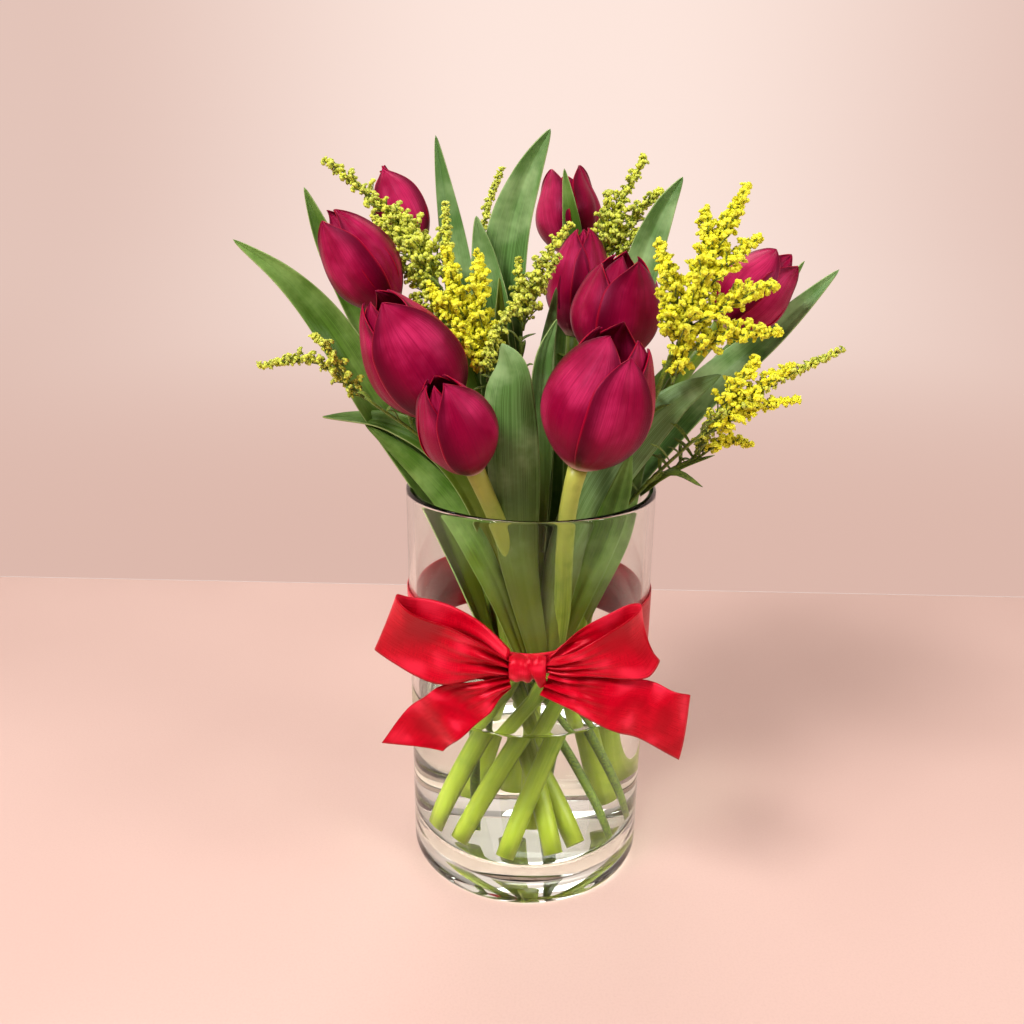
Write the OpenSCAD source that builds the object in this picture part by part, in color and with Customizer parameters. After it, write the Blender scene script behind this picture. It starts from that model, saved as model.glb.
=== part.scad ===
// A bunch of dark pink tulips with goldenrod, standing in a glass cylinder
// vase of water that has a satin ribbon tied round it in a bow.
// The origin is the middle of the vase's flat underside, and +Z is up.

/* [Vase] */
// Outside diameter of the glass
vase_d = 120; // [119:1:122]
// Height of the glass
vase_h = 200; // [199:1:202]
// Thickness of the glass wall
vase_wall = 3.5; // [3:0.5:4]
// Thickness of the glass base
vase_base = 20; // [18:1:20]
// Radius of the outer bottom edge
foot_round = 4; // [2:1:6]
// Radius of the inner bottom corner
inner_round = 5; // [3:1:8]
// Height of the water's surface above the table
water_top = 94; // [90:1:98]

/* [Ribbon] */
// Width of the ribbon
ribbon_w = 32; // [28:1:34]
// Height of the band's middle above the table
band_mid = 132; // [130:1:134]
// Thickness that the band stands for
ribbon_t = 0.6; // [0.4:0.1:0.8]
// Thickness of a bow loop, front layer to back layer, at its outer end
loop_t = 13; // [11:1:15]

/* [Flowers] */
// Diameter of a tulip stem
stem_d = 8.4; // [7:0.2:8.6]
// Diameter of a goldenrod stem
rod_d = 4; // [3:0.5:5]
// Thickness of a petal
petal_t = 1; // [0.8:0.1:1.2]
// Angle that one petal covers
petal_angle = 112; // [100:1:116]
// Thickness of a leaf
leaf_t = 1.2; // [1:0.1:1.6]

/* [Hidden] */
stem_foot = vase_base + 3;
waist_z = 90;
straight_z = 100;
stem_sides = 8;
rod_sides = 6;
fine = 96;

// Each tulip: [foot x, y], [waist x, y], base of the bloom, tip of the bloom, bloom diameter
tulips = [
    [[24, -36], [-11, 4], [-64, -3, 282], [-91, -8, 323], 32],
    [[14, -46], [-5, -6], [-38, -25, 238], [-67, -35, 291], 42],
    [[-42, -26], [-12, -15], [-24, -50, 220], [-39, -66, 262], 32],
    [[-31, -36], [3, -20], [20, -47, 221], [36, -52, 282], 46],
    [[-10, -50], [15, -21], [32, -9, 259], [40, -8, 308], 39],
    [[2, -16], [4, 6], [20, 23, 267], [22, 23, 317], 30],
    [[-4, 32], [0, 28], [19, 56, 303], [14, 67, 344], 33],
    [[-19, 20], [-8, 17], [-57, 34, 305], [-73, 36, 343], 29],
    [[23, 39], [26, 14], [86, 6, 274], [115, 10, 306], 34],
    [[28, 12], [18, 9], [46, 54, 258], [54, 64, 299], 33],
];

// Each leaf: points along its middle, its facing at the foot, its facing at the tip, width
front = [0, -1, 0];
leaves = [
    [[[-16, -14, 113], [-27, -12, 144], [-39, -8, 175], [-50, -4, 201], [-72, -4, 237],
      [-93, -4, 272], [-112, -2, 294], [-136, 0, 311]], [1, -0.3, 0], [-0.2, -1, 0.5], 22],
    [[[-15, 8, 108], [-28, 12, 154], [-44, 16, 200], [-69, 20, 249], [-95, 24, 301],
      [-108, 24, 334]], [1, -0.3, 0], front, 20],
    [[[-7, 14, 108], [-21, 22, 194], [-32, 32, 263], [-41, 38, 315], [-48, 40, 358]],
     front, front, 17],
    [[[-2, 6, 112], [-11, 10, 187], [-16, 14, 256], [-13, 16, 307], [-5, 16, 337],
      [6, 15, 359]], front, front, 23],
    [[[10, 18, 130], [13, 32, 223], [16, 42, 272], [18, 44, 310], [13, 44, 344]],
     front, front, 15],
    [[[17, 14, 108], [28, 20, 185], [39, 26, 245], [50, 30, 298], [59, 30, 323],
      [68, 30, 340]], front, front, 19],
    [[[20, 0, 107], [30, 6, 152], [41, 12, 187], [78, 22, 234], [115, 27, 269],
      [145, 28, 300]], [-1, -0.3, 0], [0, -1, 0.5], 23],
    [[[24, 16, 131], [39, 22, 184], [75, 34, 229], [108, 40, 266], [132, 42, 303]],
     [-1, -0.3, 0], front, 15],
    [[[10, -22, 118], [15, -26, 165], [27, -24, 196], [44, -20, 224], [62, -20, 244],
      [82, -26, 258]], front, [0, -1, 1], 20],
    [[[6, -24, 119], [-3, -34, 173], [-6, -40, 213], [-9, -42, 244], [-9, -42, 261],
      [-13, -40, 272]], front, front, 19],
    [[[-11, -20, 151], [-27, -20, 197], [-44, -15, 220], [-63, -10, 229], [-81, -8, 232],
      [-98, -8, 232]], front, [0, -0.6, 1], 12],
    [[[-3, -20, 117], [-18, -24, 161], [-33, -20, 188], [-54, -14, 211], [-78, -10, 230]],
     [0.3, -1, 0], front, 15],
    [[[8, -6, 222], [7, -14, 256], [8, -16, 278]], front, front, 10],
    [[[7, 2, 205], [5, 2, 258], [10, 2, 292]], front, front, 11],
    [[[-5, 4, 158], [-12, 6, 229], [-18, 8, 276], [-23, 10, 300], [-27, 10, 322]],
     front, front, 18],
    [[[-9, 0, 220], [-14, 0, 263], [-16, 0, 296]], front, front, 8],
    [[[14, -18, 116], [24, -24, 151], [34, -28, 181], [40, -30, 206], [44, -30, 224]],
     front, front, 14],
    [[[19, -8, 111], [30, -12, 145], [39, -14, 173], [46, -14, 198], [53, -14, 225]],
     front, front, 14],
    [[[-10, 26, 112], [-18, 36, 160], [-26, 44, 200], [-40, 58, 250], [-50, 66, 288]],
     [0.3, -1, 0], front, 22],
    [[[8, 30, 112], [14, 40, 160], [22, 46, 200], [34, 70, 248], [40, 84, 280]],
     front, front, 24],
    [[[24, 20, 114], [34, 28, 156], [42, 34, 198], [66, 50, 236], [90, 60, 262]],
     [-0.3, -1, 0], [0, -1, 0.4], 20],
    [[[2, 4, 112], [6, 8, 160], [9, 12, 205], [10, 14, 250]], front, front, 18],
    [[[14, -2, 114], [24, 2, 160], [36, 6, 205], [46, 10, 240]], front, [0, -1, 0.3], 18],
];

// Goldenrod, one entry a plant: routes of its stem and branches, then its sprays
// as [root, end, radius]. The first two points of the first route are its straight foot.
goldenrod = [
    [[[[-20, -21, stem_foot], [-19, 9, straight_z], [-26, 8, 180], [-34, 6, 250], [-39, 4, 298]],
      [[-26, 8, 180], [-44, -8, 216], [-73, -30, 246]]],
     [[[-39, 4, 298], [-91, 6, 346], 9], [[-73, -30, 246], [-116, -34, 259], 6]]],
    [[[[40, -33, stem_foot], [0, -5, straight_z], [-6, -14, 180], [-15, -20, 254]],
      [[-6, -14, 180], [-4, -8, 230], [-6, -4, 270]]],
     [[[-15, -20, 254], [-32, -16, 303], 13], [[-6, -4, 270], [15, -10, 318], 9]]],
    [[[[46, -15, stem_foot], [13, -3, straight_z], [30, -8, 170], [46, -18, 220], [59, -32, 268]],
      [[30, -8, 170], [54, -18, 206], [76, -30, 234]],
      [[54, -18, 206], [66, -17, 213], [77, -18, 219]]],
     [[[59, -32, 268], [82, -30, 334], 14], [[76, -30, 234], [128, -34, 268], 8],
      [[77, -18, 219], [97, -22, 228], 6]]],
    [[[[6, 44, stem_foot], [13, 20, straight_z], [14, 30, 200], [22, 36, 260], [33, 38, 304]],
      [[14, 30, 200], [-10, 44, 256], [-28, 50, 305]]],
     [[[33, 38, 304], [50, 40, 348], 10], [[-28, 50, 305], [-18, 50, 341], 6]]],
];
plants = ["left", "middle", "right", "back"];

function two(i) = i < 10 ? str("0", i) : str(i);
tulip_names = [for (i = [1:len(tulips)]) two(i)];
leaf_names = [for (i = [1:len(leaves)]) two(i)];

// Unit vector
function unit(v) = v / norm(v);

// A point at part t, 0 to 1, of the smooth curve through the points p
function past_ends(p) =
    concat([2 * p[0] - p[1]], p, [2 * p[len(p) - 1] - p[len(p) - 2]]);
function spline(p, t) =
    let (n = len(p) - 1, q = past_ends(p), s = min(max(t, 0), 1) * n, i = min(floor(s), n - 1),
         f = s - i, a = q[i], b = q[i + 1], c = q[i + 2], d = q[i + 3])
    0.5 * (2 * b + (c - a) * f + (2 * a - 5 * b + 4 * c - d) * f * f
           + (3 * b - a - 3 * c + d) * f * f * f);
function bezier(p, t) =
    pow(1 - t, 3) * p[0] + 3 * pow(1 - t, 2) * t * p[1] + 3 * (1 - t) * t * t * p[2]
    + pow(t, 3) * p[3];

// A closed skin through rings of points, all of the same count
module skin(rings) {
    n = len(rings[0]);
    m = len(rings);
    sides = [for (i = [0:m - 2], j = [0:n - 1])
        let (a = i * n + j, b = i * n + (j + 1) % n, c = b + n, d = a + n)
        each [[a, d, c], [a, c, b]]];
    polyhedron([for (r = rings) each r],
               concat([[for (j = [0:n - 1]) j]], sides,
                      [[for (j = [0:n - 1]) m * n - 1 - j]]), convexity = 6);
}

// A round stalk of diameter d along a path of points
module stalk(path, d, sides) {
    n = len(path) - 1;
    skin([for (i = [0:n])
        let (t = unit(path[min(i + 1, n)] - path[max(i - 1, 0)]), u = unit(cross([0, 1, 0], t)),
             v = cross(t, u))
        [for (k = [0:sides - 1])
            path[i] + d / 2 * (u * cos(k * 360 / sides) + v * sin(k * 360 / sides))]]);
}

// Where a tulip stem stands, and where its straight part ends
function foot_of(s) =
    let (k = (stem_foot - vase_base) / (waist_z - vase_base))
    [each (s[0] + (s[1] - s[0]) * k), stem_foot];
function knee_of(s) =
    let (k = (straight_z - vase_base) / (waist_z - vase_base))
    [each (s[0] + (s[1] - s[0]) * k), straight_z];
function stem_path(s) =
    let (a = foot_of(s), b = knee_of(s), c = s[2], reach = norm(c - b),
         ctrl = [b, b + unit(b - a) * reach * 0.3, c - unit(s[3] - c) * reach * 0.35, c])
    concat([a], [for (i = [0:10]) bezier(ctrl, i / 10)]);

// Sets its children's +Z along the way from a to b, with their origin at a
module along(a, b) {
    v = b - a;
    translate(a) rotate([0, acos(v[2] / norm(v)), atan2(v[1], v[0])]) children();
}

// The vase's inner outline, up to height top
module hollow_outline(top) {
    r = vase_d / 2 - vase_wall;
    polygon(concat([[0, vase_base]],
        [for (a = [-90:15:0]) [r - inner_round + inner_round * cos(a),
                               vase_base + inner_round + inner_round * sin(a)]],
        [[r, top], [0, top]]));
}

module vase() {
    color([0.85, 0.93, 0.92, 0.35])
    difference() {
        rotate_extrude($fn = fine)
            polygon(concat([[0, 0]],
                [for (a = [-90:15:0]) [vase_d / 2 - foot_round + foot_round * cos(a),
                                       foot_round + foot_round * sin(a)]],
                [[vase_d / 2, vase_h - 1], [vase_d / 2 - 1, vase_h], [0, vase_h]]));
        rotate_extrude($fn = fine) hollow_outline(vase_h + 1);
    }
}

module water() {
    gap = 0.1;
    color([0.75, 0.88, 0.9, 0.5])
    difference() {
        rotate_extrude($fn = fine) hollow_outline(water_top);
        for (s = tulips)
            along(foot_of(s), knee_of(s)) cylinder(d = stem_d + 2 * gap, h = straight_z, $fn = fine);
        for (g = goldenrod)
            along(g[0][0][0], g[0][0][1]) cylinder(d = rod_d + 2 * gap, h = straight_z, $fn = fine);
    }
}

module ribbon_band() {
    color("crimson")
    translate([0, 0, band_mid - ribbon_w / 2])
    difference() {
        cylinder(d = vase_d + 2 * ribbon_t, h = ribbon_w, $fn = fine);
        translate([0, 0, -1]) cylinder(d = vase_d, h = ribbon_w + 2, $fn = fine);
    }
}

module ribbon_knot() {
    color("crimson")
    hull() {
        translate([-3, -67, 136]) sphere(d = 11.6, $fn = 20);
        translate([6, -67, 134]) sphere(d = 10.6, $fn = 20);
    }
}

// A bow loop: pinched at point a, and round at its outer end, whose edge runs from b to c
module loop(a, b, c) {
    wall = 2;
    end_in = 0.5;
    difference() {
        hull() {
            translate(a) sphere(d = 6, $fn = 12);
            along(b, c) cylinder(d = loop_t, h = norm(c - b), $fn = 24);
        }
        hull() {
            translate(a + (b + c - 2 * a) * 0.2) sphere(d = 1.5, $fn = 8);
            along(b - (c - b) * end_in, c + (c - b) * end_in)
                cylinder(d = loop_t - 2 * wall, h = norm(c - b) * (1 + 2 * end_in), $fn = 24);
        }
    }
}

module ribbon_loop_left() {
    color("crimson") loop([-12, -67, 138], [-60, -71, 144], [-52, -69, 164]);
}

module ribbon_loop_right() {
    color("crimson") loop([13, -67, 137], [51, -70, 140], [43, -69, 161]);
}

// A ribbon tail: a thin plate over four corners
module tail(corners) {
    hull() for (p = corners) translate(p) sphere(d = 2, $fn = 8);
}

module ribbon_tail_left() {
    color("crimson") tail([[-11, -67, 132], [-9, -67, 127], [-63, -71, 100], [-38, -74, 97]]);
}

module ribbon_tail_right() {
    color("crimson") tail([[14, -67, 131], [11, -67, 126], [70, -72, 125], [66, -72, 96]]);
}

module tulip_stem(s) {
    color("yellowgreen") stalk(stem_path(s), stem_d, stem_sides);
}

// How wide a bloom is at part t of its height
function bloom_swell(t) =
    t < 0.42 ? pow(sin(90 * t / 0.42), 0.55) : 0.12 + 0.88 * pow(cos(90 * (t - 0.42) / 0.58), 0.75);

// One petal: an arc of the bloom's shell, set in from its surface, from the base to part top
module petal(length, r, inset, top) {
    seat = 0.04;
    steps = 8;
    heights = [for (i = [0:steps]) seat + (top - seat) * i / steps];
    rotate([0, 0, -petal_angle / 2])
    rotate_extrude(angle = petal_angle, $fn = fine)
        polygon(concat(
            [for (t = heights) [r * bloom_swell(t) - inset, length * t]],
            [for (i = [steps:-1:0]) [r * bloom_swell(heights[i]) - inset - petal_t,
                                     length * heights[i]]]));
}

module tulip_bloom(s) {
    length = norm(s[3] - s[2]);
    r = s[4] / 2;
    layer_gap = 0.4;
    color([0.6, 0.06, 0.28])
    along(s[2], s[3]) {
        cylinder(r = r * bloom_swell(0.04), h = length * 0.04, $fn = fine);
        for (k = [0:2]) {
            rotate([0, 0, k * 120]) petal(length, r, 0, 0.96);
            rotate([0, 0, k * 120 + 60]) petal(length, r, petal_t + layer_gap, 0.93);
        }
    }
}

// How wide a leaf is at part t of its length
function leaf_swell(t) = t < 0.5 ? 0.42 + 0.58 * sin(180 * t) : pow(max(cos(180 * (t - 0.5)), 0), 0.8);

module tulip_leaf(f) {
    steps = 8;
    across = [-1, -0.5, 0, 0.5, 1];
    least = 0.5;
    color([0.25, 0.45, 0.2])
    skin([for (i = [0:steps])
        let (t = i / steps, p = spline(f[0], t),
             along_it = unit(spline(f[0], t + 0.01) - spline(f[0], t - 0.01)),
             side = unit(cross(along_it, f[1] * (1 - t) + f[2] * t)), face = cross(side, along_it),
             half = max(f[3] / 2 * leaf_swell(t), least))
        concat([for (s = across) p + side * half * s * 0.93 + face * half * (s * s - 0.4) * 0.35],
               [for (k = [4:-1:0]) let (s = across[k])
                    p + side * half * s * 0.93 + face * (half * (s * s - 0.4) * 0.35 - leaf_t)])]);
}

module goldenrod_stem(g) {
    color("olivedrab")
    for (k = [0:len(g[0]) - 1]) {
        route = g[0][k];
        if (k == 0) {
            bent = [for (i = [1:len(route) - 1]) route[i]];
            stalk(concat([route[0]], [for (i = [0:8]) spline(bent, i / 8)]), rod_d, rod_sides);
        } else {
            stalk([for (i = [0:6]) spline(route, i / 6)], rod_d / 2, rod_sides);
        }
    }
}

module goldenrod_spray(g) {
    color("gold")
    for (s = g[1]) {
        length = norm(s[1] - s[0]);
        along(s[0], s[1])
            rotate_extrude($fn = fine)
                polygon(concat([[0, 0]],
                    [for (i = [1:7]) [s[2] * sin(i * 22.5), length * i / 8]], [[0, length]]));
    }
}

vase();
water();
ribbon_band();
ribbon_knot();
ribbon_loop_left();
ribbon_loop_right();
ribbon_tail_left();
ribbon_tail_right();
for (i = [0:len(tulips) - 1]) {
    tulip_stem(tulips[i]);
    tulip_bloom(tulips[i]);
}
for (i = [0:len(leaves) - 1])
    tulip_leaf(leaves[i]);
for (i = [0:len(plants) - 1]) {
    goldenrod_stem(goldenrod[i]);
    goldenrod_spray(goldenrod[i]);
}
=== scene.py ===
"""Dark pink tulips and goldenrod standing in a glass cylinder of water, tied with a red satin bow.

Sizes below are in millimetres, in the part's own frame: the origin is the middle of the
vase's underside and +Z is up. They become metres when a piece's vertices are placed.
"""

import logging
import math
import random
from dataclasses import dataclass, field
from enum import Enum
from typing import Callable, Sequence

import bpy
from mathutils import Matrix, Vector


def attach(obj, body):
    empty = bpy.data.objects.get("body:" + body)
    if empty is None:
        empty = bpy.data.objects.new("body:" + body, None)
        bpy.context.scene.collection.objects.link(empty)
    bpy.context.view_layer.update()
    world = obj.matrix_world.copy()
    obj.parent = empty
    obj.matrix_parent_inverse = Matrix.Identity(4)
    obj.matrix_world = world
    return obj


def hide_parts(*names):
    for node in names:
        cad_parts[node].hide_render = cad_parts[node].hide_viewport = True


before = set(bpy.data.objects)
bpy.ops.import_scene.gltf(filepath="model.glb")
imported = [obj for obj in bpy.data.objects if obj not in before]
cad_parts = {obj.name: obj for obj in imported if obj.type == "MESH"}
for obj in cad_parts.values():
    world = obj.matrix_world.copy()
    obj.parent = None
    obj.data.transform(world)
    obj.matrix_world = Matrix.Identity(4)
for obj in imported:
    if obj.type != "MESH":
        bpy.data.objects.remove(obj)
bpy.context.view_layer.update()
MM = 0.001
Point = tuple[float, float, float]
Colour = tuple[int, int, int]
Place = Callable[[float, float], Vector]
log = logging.getLogger("bouquet")


# ---------------------------------------------------------------- curves


def clamp(value: float, low: float = 0.0, high: float = 1.0) -> float:
    """Holds a value between two limits."""
    return max(low, min(high, value))


def mix(a: float, b: float, t: float) -> float:
    """The number at part t of the way from a to b."""
    return a + (b - a) * t


def ease(t: float) -> float:
    """A smooth step from 0 to 1.

    Args:
        t: how far along, held between 0 and 1.

    Returns:
        The eased part.
    """
    t = clamp(t)
    return t * t * (3 - 2 * t)


def spline(points: Sequence[Point], t: float) -> Vector:
    """A point on the smooth curve that passes through all the points.

    Args:
        points: the points the curve passes through, in order.
        t: how far along, from 0 at the first point to 1 at the last.

    Returns:
        The point on the curve.
    """
    p = [Vector(q) for q in points]
    p = [2 * p[0] - p[1], *p, 2 * p[-1] - p[-2]]
    n = len(points) - 1
    s = clamp(t) * n
    i = min(int(s), n - 1)
    f = s - i
    a, b, c, d = p[i : i + 4]
    return 0.5 * (
        2 * b
        + (c - a) * f
        + (2 * a - 5 * b + 4 * c - d) * f * f
        + (3 * b - a - 3 * c + d) * f**3
    )


def bezier(ctrl: Sequence[Vector], t: float) -> Vector:
    """A point on a cubic Bezier curve.

    Args:
        ctrl: its four control points.
        t: how far along, 0 to 1.

    Returns:
        The point on the curve.
    """
    a, b, c, d = ctrl
    s = 1 - t
    return s**3 * a + 3 * s * s * t * b + 3 * s * t * t * c + t**3 * d


def frames(path: Sequence[Vector]) -> list[tuple[Vector, Vector]]:
    """Two directions across a path at each of its points, turning as little as they can.

    Args:
        path: the points of the path.

    Returns:
        One (side, up) pair of unit vectors for each point.
    """
    out: list[tuple[Vector, Vector]] = []
    side = Vector((1, 0.01, 0))
    last = len(path) - 1
    for i in range(last + 1):
        along = (path[min(i + 1, last)] - path[max(i - 1, 0)]).normalized()
        side = (side - along * side.dot(along)).normalized()
        out.append((side, along.cross(side)))
    return out


# ---------------------------------------------------------------- the bench


class Bench:
    """Where pieces are modelled: a primitive goes in, a shaped and finished piece comes out."""

    @staticmethod
    def clear() -> None:
        """Deselects everything."""
        for chosen in list(bpy.context.selected_objects):
            chosen.select_set(False)
        bpy.context.view_layer.objects.active = None

    @staticmethod
    def pick(*pieces: bpy.types.Object) -> None:
        """Selects these pieces alone, the first one active.

        Args:
            pieces: what to select.
        """
        Bench.clear()
        for piece in pieces:
            piece.select_set(True)
        bpy.context.view_layer.objects.active = pieces[0]

    @staticmethod
    def grid(name: str, columns: int, rows: int, place: Place) -> bpy.types.Object:
        """A sheet of faces laid over a shape.

        Args:
            name: the piece's name.
            columns: how many faces across.
            rows: how many faces along.
            place: gives the point, in mm, for each (u, v) from 0 to 1.

        Returns:
            The sheet, whose UV map is (u, v).
        """
        Bench.clear()
        bpy.ops.mesh.primitive_grid_add(
            x_subdivisions=columns, y_subdivisions=rows, size=2
        )
        piece = bpy.context.active_object
        piece.name = piece.data.name = name
        for vertex in piece.data.vertices:
            u, v = (vertex.co.x + 1) / 2, (vertex.co.y + 1) / 2
            vertex.co = place(u, v) * MM
        return piece

    @staticmethod
    def wrap(
        name: str, columns: int, rings: Sequence[Callable[[float], Vector]]
    ) -> bpy.types.Object:
        """A closed skin through rings, such as a stalk or a turned vessel.

        Args:
            name: the piece's name.
            columns: how many faces round.
            rings: one function a ring, which gives a point in mm for each u from 0 to 1.

        Returns:
            The skin, with its seam and its ends merged and its normals outwards.
        """
        last = len(rings) - 1
        piece = Bench.grid(
            name, columns, last, lambda u, v: rings[round(v * last)](u % 1.0)
        )
        Bench.weld(piece)
        return piece

    @staticmethod
    def weld(piece: bpy.types.Object) -> None:
        """Merges vertices that lie together, then turns the normals outwards.

        Args:
            piece: the piece, as a loose skin.
        """
        Bench.pick(piece)
        bpy.ops.object.mode_set(mode="EDIT")
        bpy.ops.mesh.select_all(action="SELECT")
        bpy.ops.mesh.remove_doubles(threshold=0.00001)
        bpy.ops.mesh.normals_make_consistent(inside=False)
        bpy.ops.object.mode_set(mode="OBJECT")

    @staticmethod
    def modify(piece: bpy.types.Object, kind: str, **settings: object) -> None:
        """Adds one modifier with these settings and applies it.

        Args:
            piece: what it is added to.
            kind: the modifier's type.
            settings: its properties by name.
        """
        Bench.pick(piece)
        modifier = piece.modifiers.new(kind.title(), kind)
        for key, value in settings.items():
            setattr(modifier, key, value)
        bpy.ops.object.modifier_apply(modifier=modifier.name)

    @staticmethod
    def thicken(piece: bpy.types.Object, thickness: float) -> None:
        """Gives a sheet a thickness in mm, half to each side."""
        Bench.modify(piece, "SOLIDIFY", thickness=thickness * MM, offset=0.0)

    @staticmethod
    def soften(piece: bpy.types.Object, levels: int = 1) -> None:
        """Subdivides a piece into a smooth surface."""
        Bench.modify(piece, "SUBSURF", levels=levels, render_levels=levels)

    @staticmethod
    def join(name: str, pieces: Sequence[bpy.types.Object]) -> bpy.types.Object:
        """Joins pieces into one.

        Args:
            name: the joined piece's name.
            pieces: the pieces, the first of which keeps its place.

        Returns:
            The joined piece.
        """
        Bench.pick(*pieces)
        if len(pieces) > 1:
            bpy.ops.object.join()
        piece = bpy.context.view_layer.objects.active
        piece.name = piece.data.name = name
        return piece

    @staticmethod
    def copy(piece: bpy.types.Object, place: Matrix) -> bpy.types.Object:
        """A copy of a piece with a mesh of its own, moved by a matrix in metres.

        Args:
            piece: the pattern.
            place: where the copy goes.

        Returns:
            The copy.
        """
        made = bpy.data.objects.new(piece.name, piece.data.copy())
        made.data.transform(place)
        bpy.context.scene.collection.objects.link(made)
        return made

    @staticmethod
    def discard(piece: bpy.types.Object) -> None:
        """Takes a pattern piece away once its copies are made."""
        bpy.data.objects.remove(piece, do_unlink=True)

    @staticmethod
    def smooth(piece: bpy.types.Object) -> None:
        """Shades a piece smooth."""
        Bench.pick(piece)
        bpy.ops.object.shade_smooth()

    @staticmethod
    def dress(piece: bpy.types.Object, *materials: bpy.types.Material) -> None:
        """Gives a piece its materials, in slot order.

        Args:
            piece: what is dressed.
            materials: its materials.
        """
        piece.data.materials.clear()
        for material in materials:
            piece.data.materials.append(material)

    @staticmethod
    def tube(
        name: str, path: Sequence[Vector], radii: Sequence[float], sides: int
    ) -> bpy.types.Object:
        """A round stalk along a path, with both ends closed.

        Args:
            name: the piece's name.
            path: points along its middle, in mm.
            radii: its radius at each point, in mm.
            sides: how many faces round.

        Returns:
            The stalk.
        """
        across = frames(path)

        def ring(i: int, part: float) -> Callable[[float], Vector]:
            """The stalk's outline at one point.

            Args:
                i: the point's number.
                part: the part of the stalk's radius there.

            Returns:
                A function from the part of the way round to the point, in mm.
            """
            side, up = across[i]

            def at(u: float) -> Vector:
                """The outline's point at part u of the way round."""
                a = 2 * math.pi * u
                return (
                    path[i] + (side * math.cos(a) + up * math.sin(a)) * radii[i] * part
                )

            return at

        last = len(path) - 1
        rings = [ring(0, 0), ring(0, 0.86)]
        rings += [ring(i, 1) for i in range(last + 1)]
        rings += [ring(last, 0)]
        piece = Bench.wrap(name, sides, rings)
        Bench.smooth(piece)
        return piece


def finish_piece(piece: bpy.types.Object, slot: str, *nodes: str) -> None:
    """Sets a piece on the part in the place of its plain solids.

    Args:
        piece: the finished piece.
        slot: a material slot's name; not used.
        nodes: the solids that it stands for.
    """
    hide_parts(*nodes)
    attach(piece, "root")
    log.info("%s: %d faces", piece.name, len(piece.data.polygons))


# ---------------------------------------------------------------- finishes


def linear(colour: Colour) -> tuple[float, float, float, float]:
    """A display colour, 0 to 255 a channel, as the linear colour a shader takes.

    Args:
        colour: the display colour.

    Returns:
        Linear red, green, blue and alpha.
    """

    def channel(c: int) -> float:
        """One channel, from display to linear."""
        s = c / 255
        return s / 12.92 if s <= 0.04045 else ((s + 0.055) / 1.055) ** 2.4

    r, g, b = colour
    return channel(r), channel(g), channel(b), 1.0


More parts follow.
